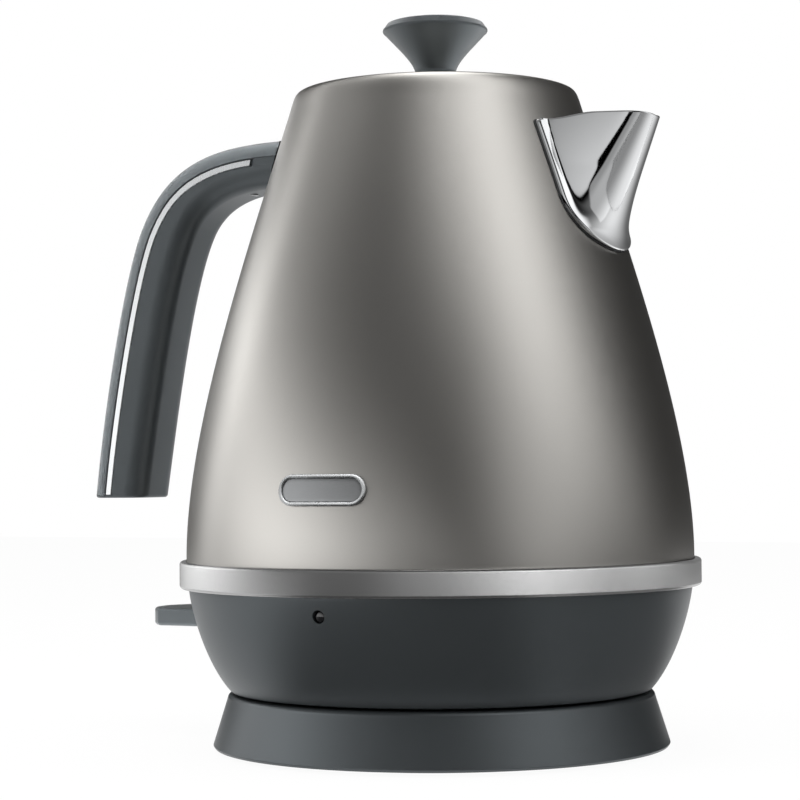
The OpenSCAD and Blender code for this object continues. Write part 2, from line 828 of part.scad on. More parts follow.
base_housing();
base_plate();
base_foot_ring();
base_screws();
base_connector();
connector_insert();
connector_contacts();
cord_gland();
terminal_block();
base_leads();
socket();
socket_contacts();
body_shell();
mouth_ring();
trim_ring();
lower_housing();
bottom_cover();
cover_screws();
floor_plate();
floor_gasket();
heat_spreader();
heating_element();
control_unit();
bimetal_discs();
switch_block();
steam_tube();
kettle_leads();
spout();
spout_gasket();
filter_clips();
filter_frame();
filter_mesh();
handle_spine();
handle_grip();
handle_inlays();
handle_end_cap();
handle_pad();
handle_bracket();
handle_screws();
gauge_window();
gauge_seal();
badge_rim();
badge_field();
pilot_lens();
pilot_lamp();
lid_cap();
lid_inner();
lid_seal();
knob();
knob_screw();
power_lever();
lever_pin();
push_rod();
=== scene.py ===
import json
import math

import bmesh
import bpy
from bpy.props import FloatProperty, FloatVectorProperty, PointerProperty
from bpy.types import Operator, Panel, PropertyGroup
from mathutils import Matrix, Vector

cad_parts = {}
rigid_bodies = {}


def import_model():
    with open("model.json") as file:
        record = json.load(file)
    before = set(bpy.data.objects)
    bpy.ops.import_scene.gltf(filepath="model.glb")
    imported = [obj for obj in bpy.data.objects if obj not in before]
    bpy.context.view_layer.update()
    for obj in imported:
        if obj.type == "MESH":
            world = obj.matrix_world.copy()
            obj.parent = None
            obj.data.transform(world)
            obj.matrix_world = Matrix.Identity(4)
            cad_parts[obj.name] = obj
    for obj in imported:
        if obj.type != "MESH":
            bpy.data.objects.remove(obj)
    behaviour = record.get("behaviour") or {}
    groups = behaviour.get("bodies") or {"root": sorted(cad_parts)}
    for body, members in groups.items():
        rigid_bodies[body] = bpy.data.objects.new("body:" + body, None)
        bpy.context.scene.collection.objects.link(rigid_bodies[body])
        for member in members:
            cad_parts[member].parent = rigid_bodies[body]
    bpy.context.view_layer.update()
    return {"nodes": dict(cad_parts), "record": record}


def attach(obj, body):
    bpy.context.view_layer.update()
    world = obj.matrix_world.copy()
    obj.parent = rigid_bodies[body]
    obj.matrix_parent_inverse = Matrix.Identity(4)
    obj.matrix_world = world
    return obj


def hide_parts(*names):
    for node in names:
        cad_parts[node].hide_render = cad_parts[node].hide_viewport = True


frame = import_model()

bl_info = {
    "name": "Cordless Kettle",
    "version": (1, 0, 0),
    "blender": (4, 5, 0),
    "location": "View3D > Sidebar > Kettle",
    "description": "Fine meshes, finishes and a studio for a cordless kettle on its power base",
    "category": "Object",
}

MM = 0.001
SPIN_STEPS = 192


# ---- outlines -------------------------------------------------------------

def eased(share):
    """A share from 0 to 1 that starts and stops softly, and stays inside 0 and 1."""
    share = max(0, min(1, share))
    return share * share * (3 - 2 * share)


def on_curve(points, t):
    """The point at t, from 0 to 1, of a cubic curve."""
    a, b, c, d = points
    s = 1 - t
    return s * s * s * a + 3 * s * s * t * b + 3 * s * t * t * c + t * t * t * d


def bezier(points, count):
    """Points along a cubic curve, its first and last point included."""
    ends = [Vector(p) for p in points]
    return [on_curve(ends, i / count) for i in range(count + 1)]


def outline_mm(*points):
    """Outline points given in millimetres."""
    return [Vector(p) * MM for p in points]


def curve_mm(points, count):
    """Points along a cubic curve given in millimetres."""
    return [p * MM for p in bezier(points, count)]


def rounded(corners, steps=6):
    """A closed outline from (x, y, radius) corners, each turned into an arc."""
    out = []
    count = len(corners)
    for i, (x, y, radius) in enumerate(corners):
        here = Vector((x, y))
        back = Vector(corners[i - 1][:2]) - here
        ahead = Vector(corners[(i + 1) % count][:2]) - here
        if radius <= 0:
            out.append(here)
            continue
        half = back.angle(ahead) / 2
        reach = radius / math.tan(half)
        reach = min(reach, 0.49 * back.length, 0.49 * ahead.length)
        true_radius = reach * math.tan(half)
        middle = (back.normalized() + ahead.normalized()).normalized()
        centre = here + middle * (true_radius / math.sin(half))
        first = here + back.normalized() * reach - centre
        last = here + ahead.normalized() * reach - centre
        turn = first.angle_signed(last)
        for k in range(steps + 1):
            angle = -turn * k / steps
            out.append(centre + Matrix.Rotation(angle, 2) @ first)
    return out


def rounded_mm(*corners, steps=6):
    """A closed outline from corners given in millimetres, each turned into an arc."""
    return rounded([(x * MM, y * MM, radius * MM) for x, y, radius in corners], steps)


def arc(centre, radius, start, end, steps):
    """Points along an arc, with its angles in degrees."""
    out = []
    for k in range(steps + 1):
        angle = math.radians(start + (end - start) * k / steps)
        out.append(Vector((centre[0] + radius * math.cos(angle),
                           centre[1] + radius * math.sin(angle))))
    return out


def circle(centre, radius, steps=48):
    """Points round a full circle."""
    return arc(centre, radius, 0, 360 * (steps - 1) / steps, steps - 1)


def stadium(length, height, inset, cap=14, straight=8):
    """Points round a lying bar with round ends, drawn in by inset."""
    radius = height / 2 - inset
    reach = (length - height) / 2
    out = []
    for side in (1, -1):
        for k in range(cap + 1):
            angle = math.pi * (k / cap - 0.5)
            out.append(Vector((side * (reach + radius * math.cos(angle)),
                               side * radius * math.sin(angle))))
        for k in range(1, straight):
            out.append(Vector((side * reach * (1 - 2 * k / straight), side * radius)))
    return out


# ---- meshes ---------------------------------------------------------------

def linked(name, data):
    """A new object in the scene, for a mesh, a lamp or a camera."""
    made = bpy.data.objects.new(name, data)
    bpy.context.scene.collection.objects.link(made)
    return made


def solid(name, points, faces):
    """A linked object from points and faces, with every face turned outwards."""
    mesh = bpy.data.meshes.new(name)
    mesh.from_pydata([tuple(p) for p in points], [], faces)
    mesh.validate()
    work = bmesh.new()
    work.from_mesh(mesh)
    bmesh.ops.recalc_face_normals(work, faces=work.faces)
    work.to_mesh(mesh)
    work.free()
    return linked(name, mesh)


def smooth(piece, sharp=40):
    """Shades a piece smooth, with edges above the sharp angle kept."""
    piece.data.shade_smooth()
    piece.data.set_sharp_from_angle(angle=math.radians(sharp))
    weighted = piece.modifiers.new("Weighted", "WEIGHTED_NORMAL")
    weighted.keep_sharp = True


def make_piece(name, points, faces, body, slot, *replaced, sharp=40):
    """A smooth piece from points and faces, riding on its body in place of CAD nodes."""
    piece = solid(name, points, faces)
    smooth(piece, sharp)
    piece.data.materials.append(finish(slot))
    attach(piece, body)
    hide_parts(*replaced)
    return piece


def spun(outline, closed=True, steps=SPIN_STEPS):
    """Points and faces of an (radius, height) outline turned round the upright axis."""
    points, rings = [], []
    for radius, height in outline:
        if radius < 1e-7:
            rings.append([len(points)] * steps)
            points.append((0, 0, height))
            continue
        rings.append(list(range(len(points), len(points) + steps)))
        for k in range(steps):
            angle = 2 * math.pi * k / steps
            points.append((radius * math.cos(angle), radius * math.sin(angle), height))
    faces = []
    pairs = list(zip(rings, rings[1:]))
    if closed:
        pairs.append((rings[-1], rings[0]))
    for low, high in pairs:
        for k in range(steps):
            nxt = (k + 1) % steps
            corner = [low[k], low[nxt], high[nxt], high[k]]
            face = list(dict.fromkeys(corner))
            if len(face) > 2:
                faces.append(face)
    return points, faces


def lofted(loops, closed=False, cap_first=False, cap_last=False):
    """Points and faces of a skin through loops with the same number of points."""
    count = len(loops[0])
    points = [p for loop in loops for p in loop]
    faces = []
    bands = len(loops) if closed else len(loops) - 1
    for i in range(bands):
        a, b = i * count, ((i + 1) % len(loops)) * count
        for k in range(count):
            nxt = (k + 1) % count
            faces.append([a + k, a + nxt, b + nxt, b + k])
    if cap_first:
        faces.append(list(range(count))[::-1])
    if cap_last:
        start = (len(loops) - 1) * count
        faces.append(list(range(start, start + count)))
    return points, faces


def combine(piece, points, faces, operation):
    """Cuts the solid given by points and faces out of a piece, or joins it on."""
    tool = solid("tool", points, faces)
    piece.modifiers.remove(piece.modifiers["Weighted"])
    boolean = piece.modifiers.new("Combine", "BOOLEAN")
    boolean.operation = operation
    boolean.solver = "EXACT"
    boolean.object = tool
    evaluated = piece.evaluated_get(bpy.context.evaluated_depsgraph_get())
    done = bpy.data.meshes.new_from_object(evaluated)
    piece.modifiers.remove(boolean)
    used_up = [piece.data, tool.data]
    piece.data = done
    bpy.data.objects.remove(tool)
    for mesh in used_up:
        bpy.data.meshes.remove(mesh)
    done.name = piece.name
    smooth(piece)


def cut_away(piece, points, faces):
    """Cuts the solid given by points and faces out of a piece."""
    combine(piece, points, faces, "DIFFERENCE")


def add_on(piece, points, faces):
    """Joins the solid given by points and faces to a piece."""
    combine(piece, points, faces, "UNION")


def prism(outline, place, low, high):
    """A straight solid: place turns an outline point and a depth into a point."""
    loops = [[place(p, low) for p in outline], [place(p, high) for p in outline]]
    return lofted(loops, cap_first=True, cap_last=True)


# ---- the wall that other pieces follow --------------------------------------

WALL_CURVE = [(85.4, 57), (88.3, 99.5), (65.5, 165.5), (50.3, 213.6)]
WALL_EDGE = [(50.3, 213.6), (48.3, 220), (48.2, 221.7), (45.6, 221.7)]
WALL_POINTS = curve_mm(WALL_CURVE, 120)
EDGE_POINTS = curve_mm(WALL_EDGE, 24) + outline_mm((42.75, 221.6), (42.6, 221.45))


def wall_radius(height):
    """Radius of the outside of the wall at a height."""
    if height <= WALL_POINTS[0].y:
        return WALL_POINTS[0].x
    for low, high in zip(WALL_POINTS, WALL_POINTS[1:]):
        if height <= high.y:
            share = (height - low.y) / (high.y - low.y)
            return low.x + (high.x - low.x) * share
    return WALL_POINTS[-1].x


def on_wall(side, across, height, lift):
    """A point lift outside the wall, across to the side of where side faces it."""
    radius = wall_radius(height) + lift
    out = math.sqrt(max(radius * radius - across * across, 0))
    facing = Vector((side[0], side[1], 0))
    left = Vector((-side[1], side[0], 0))
    return facing * out + left * across + Vector((0, 0, height))


# ---- sizes and colours that a user can change --------------------------------

def length(name, description, default, low, high):
    """A length property in metres, given in millimetres."""
    return FloatProperty(name=name, description=description, default=default * MM,
                         min=low * MM, max=high * MM, unit="LENGTH", precision=4)


def colour(name, description, default):
    """A colour property, as linear red, green and blue."""
    return FloatVectorProperty(name=name, description=description, default=default,
                               size=3, min=0, max=1, subtype="COLOR")


class KettleSizes(PropertyGroup):
    """Sizes of the kettle's visible pieces."""

    wall: length("Wall", "Thickness of the metal wall", 0.8, 0.6, 1.0)
    band_corner: length("Band corner", "Radius of the bright band's corners", 2.0, 1.0, 2.0)
    bowl_wall: length("Bowl wall", "Thickness of the dark bowl under the wall", 2.5, 2.0, 3.0)
    handle_edge: length("Handle edge", "Radius of the handle's outer long edges", 5.0, 3.0, 5.5)
    grip_edge: length("Grip edge", "Radius of the handle's inner long edges", 7.0, 4.0, 7.0)
    handle_shell: length("Handle shell", "Thickness of the handle's outer shell", 2.0, 1.5, 2.5)
    inlay_from: length("Inlay place", "From the handle's outer face to its inlay", 6.0, 5.0, 7.0)
    inlay_width: length("Inlay width", "Width of the metal inlay", 2.6, 2.0, 3.0)
    inlay_depth: length("Inlay depth", "Depth of the inlay's groove", 1.0, 0.5, 1.2)
    knob_neck: length("Knob neck", "Radius of the knob's neck", 6.9, 6.0, 7.5)
    spout_half: length("Spout half width", "Half of the spout flange's width", 23.6, 22.0, 24.0)
    spout_wall: length("Spout wall", "Thickness of the spout's metal", 1.0, 0.8, 1.4)
    nose_radius: length("Nose radius", "Radius of the spout's nose at its lip", 12.4, 11.0, 14.0)
    badge_rim: length("Badge rim", "Width of the badge's raised rim", 1.3, 1.0, 2.0)
    lever_edge: length("Lever edge", "Radius of the switch lever's edges", 1.0, 0.5, 2.0)


class KettleColours(PropertyGroup):
    """Colours of the kettle's finishes."""

    lacquer: colour("Lacquer", "Satin metallic lacquer on the wall and the lid",
                    (0.412, 0.4, 0.38))
    moulding: colour("Moulding", "Slate moulding of the handle, knob, bowl and base",
                     (0.09, 0.1, 0.106))
    steel: colour("Steel", "Satin steel of the band", (0.42, 0.42, 0.42))
    chrome: colour("Chrome", "Polished chrome of the spout", (0.86, 0.87, 0.88))
    aluminium: colour("Aluminium", "Satin aluminium of the inlays and the badge's rim",
                      (0.46, 0.47, 0.475))
    silicone: colour("Silicone", "Seals and the ring under the base", (0.012, 0.012, 0.013))
    black: colour("Black moulding", "Connector, collar and lid plug", (0.01, 0.01, 0.011))
    window: colour("Gauge window", "Clear plastic of the water gauge", (0.62, 0.72, 0.78))


def sizes():
    """The kettle's sizes in this scene."""
    return bpy.context.scene.kettle_sizes


def colours():
    """The kettle's colours in this scene."""
    return bpy.context.scene.kettle_colours


# ---- finishes ---------------------------------------------------------------

def start_finish(name):
    """A new node material with one shader on its surface."""
    material = bpy.data.materials.new(name)
    material.use_nodes = True
    tree = material.node_tree
    tree.nodes.clear()
    output = tree.nodes.new("ShaderNodeOutputMaterial")
    shader = tree.nodes.new("ShaderNodeBsdfPrincipled")
    tree.links.new(shader.outputs["BSDF"], output.inputs["Surface"])
    return material, tree, shader


def object_place(tree, stretch=(1, 1, 1)):
    """The place on the piece, in metres, stretched along its axes."""
    place = tree.nodes.new("ShaderNodeTexCoord")
    mapping = tree.nodes.new("ShaderNodeMapping")
    mapping.inputs["Scale"].default_value = stretch
    tree.links.new(place.outputs["Object"], mapping.inputs["Vector"])
    return mapping.outputs["Vector"]


def noise_field(tree, scale, detail=2.0, stretch=(1, 1, 1)):
    """Even noise at scale waves a metre."""
    noise = tree.nodes.new("ShaderNodeTexNoise")
    noise.inputs["Scale"].default_value = scale
    noise.inputs["Detail"].default_value = detail
    tree.links.new(object_place(tree, stretch), noise.inputs["Vector"])
    return noise.outputs["Fac"]


def ranged(tree, field, low, high, field_low=0.3, field_high=0.7):
    """A field moved from its own range to low and high."""
    node = tree.nodes.new("ShaderNodeMapRange")
    node.inputs["From Min"].default_value = field_low
    node.inputs["From Max"].default_value = field_high
    node.inputs["To Min"].default_value = low
    node.inputs["To Max"].default_value = high
    tree.links.new(field, node.inputs["Value"])
    return node.outputs["Result"]


def math_node(tree, operation, first, second):
    """A sum, product or other operation on two values or outputs."""
    node = tree.nodes.new("ShaderNodeMath")
    node.operation = operation
    for socket, value in zip(node.inputs, (first, second)):
        if isinstance(value, (int, float)):
            socket.default_value = value
        else:
            tree.links.new(value, socket)
    return node.outputs["Value"]


def tinted(tree, shader, field, tint, spread):
    """Colours the shader by a field, from a little darker than tint to a little lighter."""
    mix = tree.nodes.new("ShaderNodeMix")
    mix.data_type = "RGBA"
    mix.inputs["A"].default_value = [c * (1 - spread) for c in tint] + [1]
    mix.inputs["B"].default_value = [min(c * (1 + spread), 1) for c in tint] + [1]
    tree.links.new(field, mix.inputs["Factor"])
    tree.links.new(mix.outputs["Result"], shader.inputs["Base Color"])


def bumped(tree, shader, field, depth):
    """Raises the surface by a field, depth metres deep."""
    bump = tree.nodes.new("ShaderNodeBump")
    bump.inputs["Distance"].default_value = depth
    tree.links.new(field, bump.inputs["Height"])
    tree.links.new(bump.outputs["Normal"], shader.inputs["Normal"])


def moulded(name, tint, roughness, grain_depth, metallic=0):
    """Moulded plastic: an even colour with fine grain and faint cloudiness."""
    material, tree, shader = start_finish(name)
    shader.inputs["Metallic"].default_value = metallic
    clouds = noise_field(tree, 18, 3)
    grain = noise_field(tree, 2400, 1)
    tinted(tree, shader, clouds, tint, 0.06)
    rough = ranged(tree, clouds, roughness - 0.03, roughness + 0.03)
    tree.links.new(rough, shader.inputs["Roughness"])
    bumped(tree, shader, grain, grain_depth)
    return material


def metal(name, tint, roughness, scale, stretch, depth, spread=0.05, swing=0.05):
    """Metal whose fine lines or grain are noise stretched along an axis."""
    material, tree, shader = start_finish(name)
    shader.inputs["Metallic"].default_value = 1
    lines = noise_field(tree, scale, 3, stretch)
    tinted(tree, shader, lines, tint, spread)
    rough = ranged(tree, lines, roughness - swing, roughness + swing)
    tree.links.new(rough, shader.inputs["Roughness"])
    bumped(tree, shader, lines, depth)
    return material


def champagne_lacquer():
    """Satin metallic lacquer: fine flakes under a faintly uneven coat."""
    material, tree, shader = start_finish("champagne_lacquer")
    shader.inputs["Metallic"].default_value = 1
    flakes = noise_field(tree, 3200, 1)
    clouds = noise_field(tree, 11, 3)
    both = math_node(tree, "MULTIPLY", flakes, 0.6)
    both = math_node(tree, "ADD", both, math_node(tree, "MULTIPLY", clouds, 0.4))
    tinted(tree, shader, both, tuple(colours().lacquer), 0.07)
    rough = ranged(tree, both, 0.33, 0.39)
    tree.links.new(rough, shader.inputs["Roughness"])
    bumped(tree, shader, flakes, 0.000004)
    return material


def slate_plastic():
    """Slate moulding with metal flakes in it and a fine satin grain."""
    return moulded("slate_plastic", tuple(colours().moulding), 0.4, 0.000012, metallic=0.75)


def black_plastic():
    """Black moulding of the connector, the collar and the lid's plug."""
    return moulded("black_plastic", tuple(colours().black), 0.38, 0.00001)


def silicone():
    """Soft matt seals."""
    return moulded("silicone", tuple(colours().silicone), 0.6, 0.00002)


def cream_plastic():
    """Heat-proof moulding of the switch and the control."""
    return moulded("cream_plastic", (0.75, 0.72, 0.63), 0.4, 0.00001)


def brown_resin():
    """Hard resin that holds the terminals."""
    return moulded("brown_resin", (0.10, 0.075, 0.06), 0.5, 0.00001)


def wire_red():
    """Woven sleeve on the kettle's wires."""
    return moulded("wire_red", (0.26, 0.04, 0.025), 0.6, 0.00005)


def wire_brown():
    """Sleeve on the base's wires."""
    return moulded("wire_brown", (0.15, 0.055, 0.022), 0.5, 0.00002)


def satin_steel():
    """Steel with fine lines that run round the kettle."""
    return metal("satin_steel", tuple(colours().steel), 0.24, 60, (1, 1, 60), 0.000001,
                 0.02, 0.02)


def chrome_plate():
    """Polished chrome with barely uneven plating."""
    return metal("chrome_plate", tuple(colours().chrome), 0.06, 90, (1, 1, 1),
                 0.0000015, 0.01, 0.01)


def satin_aluminium():
    """Aluminium strip brushed along its length."""
    return metal("satin_aluminium", tuple(colours().aluminium), 0.27, 900, (1, 1, 0.05),
                 0.000001, 0.03, 0.02)


def badge_plate():
    """Finely brushed plate inside the badge's rim."""
    return metal("badge_plate", (0.26, 0.265, 0.27), 0.42, 2600, (0.3, 1, 1), 0.00001, 0.12)


def stainless_steel():
    """Bare steel inside the kettle."""
    return metal("stainless_steel", (0.62, 0.62, 0.61), 0.3, 500, (1, 0.08, 1), 0.000006)


def zinc_steel():
    """Plated steel of the screws and the bracket."""
    return metal("zinc_steel", (0.55, 0.56, 0.57), 0.35, 700, (1, 1, 1), 0.000006)


def spreader_aluminium():
    """Rolled aluminium plate under the floor."""
    return metal("spreader_aluminium", (0.70, 0.71, 0.72), 0.36, 400, (0.05, 1, 1), 0.000006)


def element_sheath():
    """Heat-darkened sheath of the element."""
    return metal("element_sheath", (0.28, 0.27, 0.26), 0.45, 300, (1, 1, 1), 0.000008, 0.2)


def contact_brass():
    """Bright brass of the contacts."""
    return metal("contact_brass", (0.78, 0.56, 0.22), 0.2, 600, (1, 1, 1), 0.000004)


def bimetal():
    """Rolled strip of the two discs."""
    return metal("bimetal", (0.60, 0.46, 0.26), 0.3, 600, (1, 0.1, 1), 0.000004)


LEVEL_PITCH = 11.5 * MM
LEVEL_LINE = 0.6 * MM
LEVEL_START = 0.8 * MM


def clear_plastic():
    """Clear gauge window with printed level lines."""
    material, tree, shader = start_finish("clear_plastic")
    place = tree.nodes.new("ShaderNodeSeparateXYZ")
    tree.links.new(object_place(tree), place.inputs["Vector"])
    step = math_node(tree, "WRAP", place.outputs["Z"], 0.0)
    step.node.inputs[2].default_value = LEVEL_PITCH
    marks = math_node(tree, "LESS_THAN", step, LEVEL_LINE)
    side = math_node(tree, "GREATER_THAN", place.outputs["Y"], LEVEL_START)
    marks = math_node(tree, "MULTIPLY", marks, side)
    mix = tree.nodes.new("ShaderNodeMix")
    mix.data_type = "RGBA"
    mix.inputs["A"].default_value = [*colours().window, 1]
    mix.inputs["B"].default_value = [0.9, 0.9, 0.9, 1]
    tree.links.new(marks, mix.inputs["Factor"])
    tree.links.new(mix.outputs["Result"], shader.inputs["Base Color"])
    tree.links.new(math_node(tree, "SUBTRACT", 0.85, marks), shader.inputs["Transmission Weight"])
    tree.links.new(ranged(tree, noise_field(tree, 60, 2), 0.05, 0.1), shader.inputs["Roughness"])
    shader.inputs["IOR"].default_value = 1.49
    return material


def black_gloss():
    """Glossy dark lens of the pilot light."""
    return moulded("black_gloss", (0.006, 0.006, 0.007), 0.06, 0.000001)


def lamp_glass():
    """Milky envelope of the lamp behind the lens."""
    return moulded("lamp_glass", (0.75, 0.78, 0.8), 0.3, 0.000002)


FINISHES = {maker.__name__: maker for maker in (
    slate_plastic, black_plastic, silicone, champagne_lacquer, satin_steel, chrome_plate,
    satin_aluminium, badge_plate, stainless_steel, zinc_steel, spreader_aluminium,
    element_sheath, contact_brass, bimetal, cream_plastic, brown_resin, wire_red, wire_brown,
    clear_plastic, black_gloss, lamp_glass)}
MADE = {}


def finish(slot):
    """The finish of a material slot, made the first time it is asked for."""
    if slot not in MADE:
        MADE[slot] = FINISHES[slot]()
    return MADE[slot]


# ---- pieces -----------------------------------------------------------------

def upright(p, depth):
    """Lays an outline flat, depth up from the table."""
    return Vector((p.x, p.y, depth))


def facing_x(p, depth):
    """Stands an outline upright, to be pushed along X."""
    return Vector((depth, p.x, p.y))


def facing_y(p, depth):
    """Stands an outline upright, to be pushed along Y."""
    return Vector((p.x, depth, p.y))


def posts(radius, angles, size, low, high):
    """Upright posts at the given angles round the kettle's axis."""
    made = []
    for angle in angles:
        spot = (radius * math.cos(math.radians(angle)), radius * math.sin(math.radians(angle)))
        made.append(prism(circle(spot, size, 32), upright, low, high))
    return made


GAUGE_LENGTH = 84 * MM
GAUGE_WIDTH = 12 * MM
GAUGE_HEIGHT = 128 * MM


def gauge_place(p, depth):
    """Stands the gauge's outline upright on the handle's side."""
    return Vector((depth, p.y, GAUGE_HEIGHT + p.x))


def body_wall():
    """The lacquered wall, rolled in at its top, with its two holes."""
    thick = sizes().wall
    inner_edge = curve_mm([(50.3 - thick / MM, 213.4), (47.6, 219.4), (47.4, 220.8),
                           (45.2, 220.9)], 20) + outline_mm((42.6, 220.9))
    outside = WALL_POINTS[::2] + EDGE_POINTS[1:]
    inside = [Vector((p.x - thick, p.y)) for p in WALL_POINTS[::4]][:-1] + inner_edge
    wall = make_piece("lacquered_wall", *spun(outside + inside[::-1]), "kettle",
                      "champagne_lacquer", "body_shell")
    spout_hole = rounded_mm((-13, 203, 2), (-12, 188, 4), (-5, 175, 3), (5, 175, 3),
                            (12, 188, 4), (13, 203, 2))
    cut_away(wall, *prism(spout_hole, facing_x, 40 * MM, 80 * MM))
    slot = stadium(GAUGE_LENGTH, GAUGE_WIDTH, 0)
    cut_away(wall, *prism(slot, gauge_place, -95 * MM, -50 * MM))


def bright_band():
    """The bright steel band between the wall and the dark bowl."""
    corner = sizes().band_corner
    low, high, outer = 54.7 * MM, 63.7 * MM, 88 * MM
    inner = wall_radius(60 * MM) + 0.3 * MM
    outline = rounded([(inner, low, 0), (outer, low, corner), (outer, high, corner),
                       (inner, high, 0)], 10)
    make_piece("steel_band", *spun(outline), "kettle", "satin_steel", "trim_ring")


BOWL_CURVE = [(84.9, 54.4), (84.3, 47.5), (79.5, 29.6), (71.3, 20.4)]
BOWL_TOP = Vector((84.9, 56.7)) * MM
BOWL_FLOOR = 24.3 * MM
LENS_HEIGHT = 48.9 * MM


def dark_bowl():
    """The moulded bowl under the wall, with its screw posts, lever slot and lens hole."""
    into = Vector((sizes().bowl_wall, 0))
    outside = [BOWL_TOP, *curve_mm(BOWL_CURVE, 40)] + outline_mm((70.9, 20.08), (70.6, 20))
    inside = outline_mm((66.5, 20), (66.5, 22.3), (59, 22.3)) + [Vector((59 * MM, BOWL_FLOOR))]
    inside += [p - into for p in reversed(curve_mm(BOWL_CURVE, 24)) if p.y > BOWL_FLOOR]
    bowl = make_piece("dark_bowl", *spun([*outside, *inside, BOWL_TOP - into]), "kettle",
                      "slate_plastic", "lower_housing")
    angles = (60, 140, 220, 300)
    for post in posts(63 * MM, angles, 3 * MM, 22.8 * MM, 31.3 * MM):
        add_on(bowl, *post)
    for hole in posts(63 * MM, angles, 1.4 * MM, 19 * MM, 30 * MM):
        cut_away(bowl, *hole)
    slot = rounded_mm((-14.8, 35.6, 1.2), (14.8, 35.6, 1.2), (14.8, 46.2, 1.2),
                      (-14.8, 46.2, 1.2))
    cut_away(bowl, *prism(slot, facing_x, -92 * MM, -72 * MM))
    cut_away(bowl, *prism(circle((0, LENS_HEIGHT), 2.1 * MM), facing_y, -95 * MM, -75 * MM))


def power_base():
    """The round power base: its housing, the ring it stands on and its connector."""
    outside = rounded_mm((74.2, 1.2, 0), (76.4, 1.2, 0), (77, 2, 0.4), (72.2, 17.3, 0))
    outside += [p * MM for p in arc((70.4, 17.5), 1.7, 10, 90, 10)]
    outside += outline_mm((12.3, 19.2), (12, 18.9), (12, 17.2), (68.5, 17.2))
    housing = make_piece("base_shell", *spun(outside), "base", "slate_plastic",
                         "base_housing")
    angles = (30, 150, 270)
    for post in posts(50 * MM, angles, 3.6 * MM, 6.2 * MM, 18 * MM):
        add_on(housing, *post)
    for hole in posts(50 * MM, angles, 1.5 * MM, 5 * MM, 15 * MM):
        cut_away(housing, *hole)
    cut_away(housing, *prism(circle((0, 8.6 * MM), 5.6 * MM), facing_y, 69 * MM, 81 * MM))
    ring = rounded_mm((61, 0, 0.4), (68, 0, 0.4), (68, 1.2, 0.1), (61, 1.2, 0.1))
    make_piece("foot_ring", *spun(ring), "base", "silicone", "base_foot_ring")
    post = outline_mm((2.2, 31), (10.1, 31), (11, 30.7), (11.4, 30.2), (11.5, 29.6), (11.5, 27),
                      (10.8, 27), (10.8, 25), (11.5, 25), (11.5, 22.6), (10.8, 22.6),
                      (10.8, 20.6), (11.5, 20.6), (11.5, 16.9), (22, 16.9), (22, 14.7),
                      (9.5, 14.7), (9.5, 28.8), (2.2, 28.8))
    make_piece("connector_post", *spun(post, steps=96), "base", "black_plastic",
               "base_connector")


# The handle's outer and inner edges from the side, in two curves each.
HANDLE_OUTER = ([(-55, 209), (-82.8, 209), (-102.7, 205.5), (-114.4, 181.3)],
                [(-114.4, 181.3), (-122.4, 164.9), (-131.8, 114.4), (-135, 84.5)])
HANDLE_INNER = ([(-60, 192.8), (-81.8, 192.8), (-89.5, 185), (-92.8, 179.4)],
                [(-92.8, 179.4), (-102.4, 162.9), (-110, 112.1), (-114.5, 84.5)])
OUTER_ENDS = outline_mm(HANDLE_OUTER[0][0], HANDLE_OUTER[1][-1])
INNER_EDGE = curve_mm(HANDLE_INNER[0], 64) + curve_mm(HANDLE_INNER[1], 64)[1:]
HANDLE_HALF = 12 * MM
HANDLE_STEPS = 48  # sections along each of its two curves
HANDLE_END = 90  # millimetres of handle for a whole step along its second curve
END_SQUARE = 0.6  # how far along the sections turn until they are square to an end
END_ROUND = 1.0 * MM
GRIP_WALL = 2.5 * MM
CORNER_STEPS = 10


def handle_at(place):
    """The handle's outer edge at a place from 0 to 2 along it, and the inner edge across."""
    part = 0 if place < 1 else 1
    share = place - part
    s = 1 - share
    a, b, c, d = outline_mm(*HANDLE_OUTER[part])
    outer = on_curve((a, b, c, d), share)
    along = (s * s * (b - a) + 2 * s * share * (c - b) + share * share * (d - c)).normalized()
    across = Vector((-along.y, along.x))
    for end, near in ((0, place), (-1, 2 - place)):
        square = (INNER_EDGE[end] - OUTER_ENDS[end]).normalized()
        across = across.lerp(square, eased(1 - near / END_SQUARE)).normalized()
    for low, high in zip(INNER_EDGE, INNER_EDGE[1:]):
        step = high - low
        turn = across.x * step.y - across.y * step.x
        if abs(turn) < 1e-12:
            continue
        gap = low - outer
        reach = (gap.x * step.y - gap.y * step.x) / turn
        share = (gap.x * across.y - gap.y * across.x) / turn
        if reach > 0 and -1e-4 <= share <= 1 + 1e-4:
            return outer, outer + across * reach
    raise ValueError(f"the handle has no inner edge across from {place:.3f}")


def end_draw(place):
    """How far the handle's outside draws in at a place, to round off its lower end."""
    left = (2 - place) * HANDLE_END * MM
    if left >= END_ROUND:
        return 0
    return END_ROUND - math.sqrt(max(END_ROUND ** 2 - (END_ROUND - left) ** 2, 0))


def handle_stations(first, last):
    """Places along the handle, closer together at its lower end."""
    places = [k / HANDLE_STEPS for k in range(1, 2 * HANDLE_STEPS)]
    places = [first] + [p for p in places if first < p < last]
    ends = [2 - d / HANDLE_END for d in (1.2, 1.0, 0.75, 0.5, 0.3, 0.15, 0.06)]
    places += [p for p in ends if first < p < last and p > places[-1]]
    return places + [last]


def handle_skin(places, section):
    """Loops of the handle's section, one for each place."""
    loops = []
    for place in places:
        outer, inner = handle_at(place)
        depth = (inner - outer).length
        loop = []
        for u, y in section(place, depth):
            p = outer.lerp(inner, u / depth)
            loop.append(Vector((p.x, y, p.y)))
        loops.append(loop)
    return loops


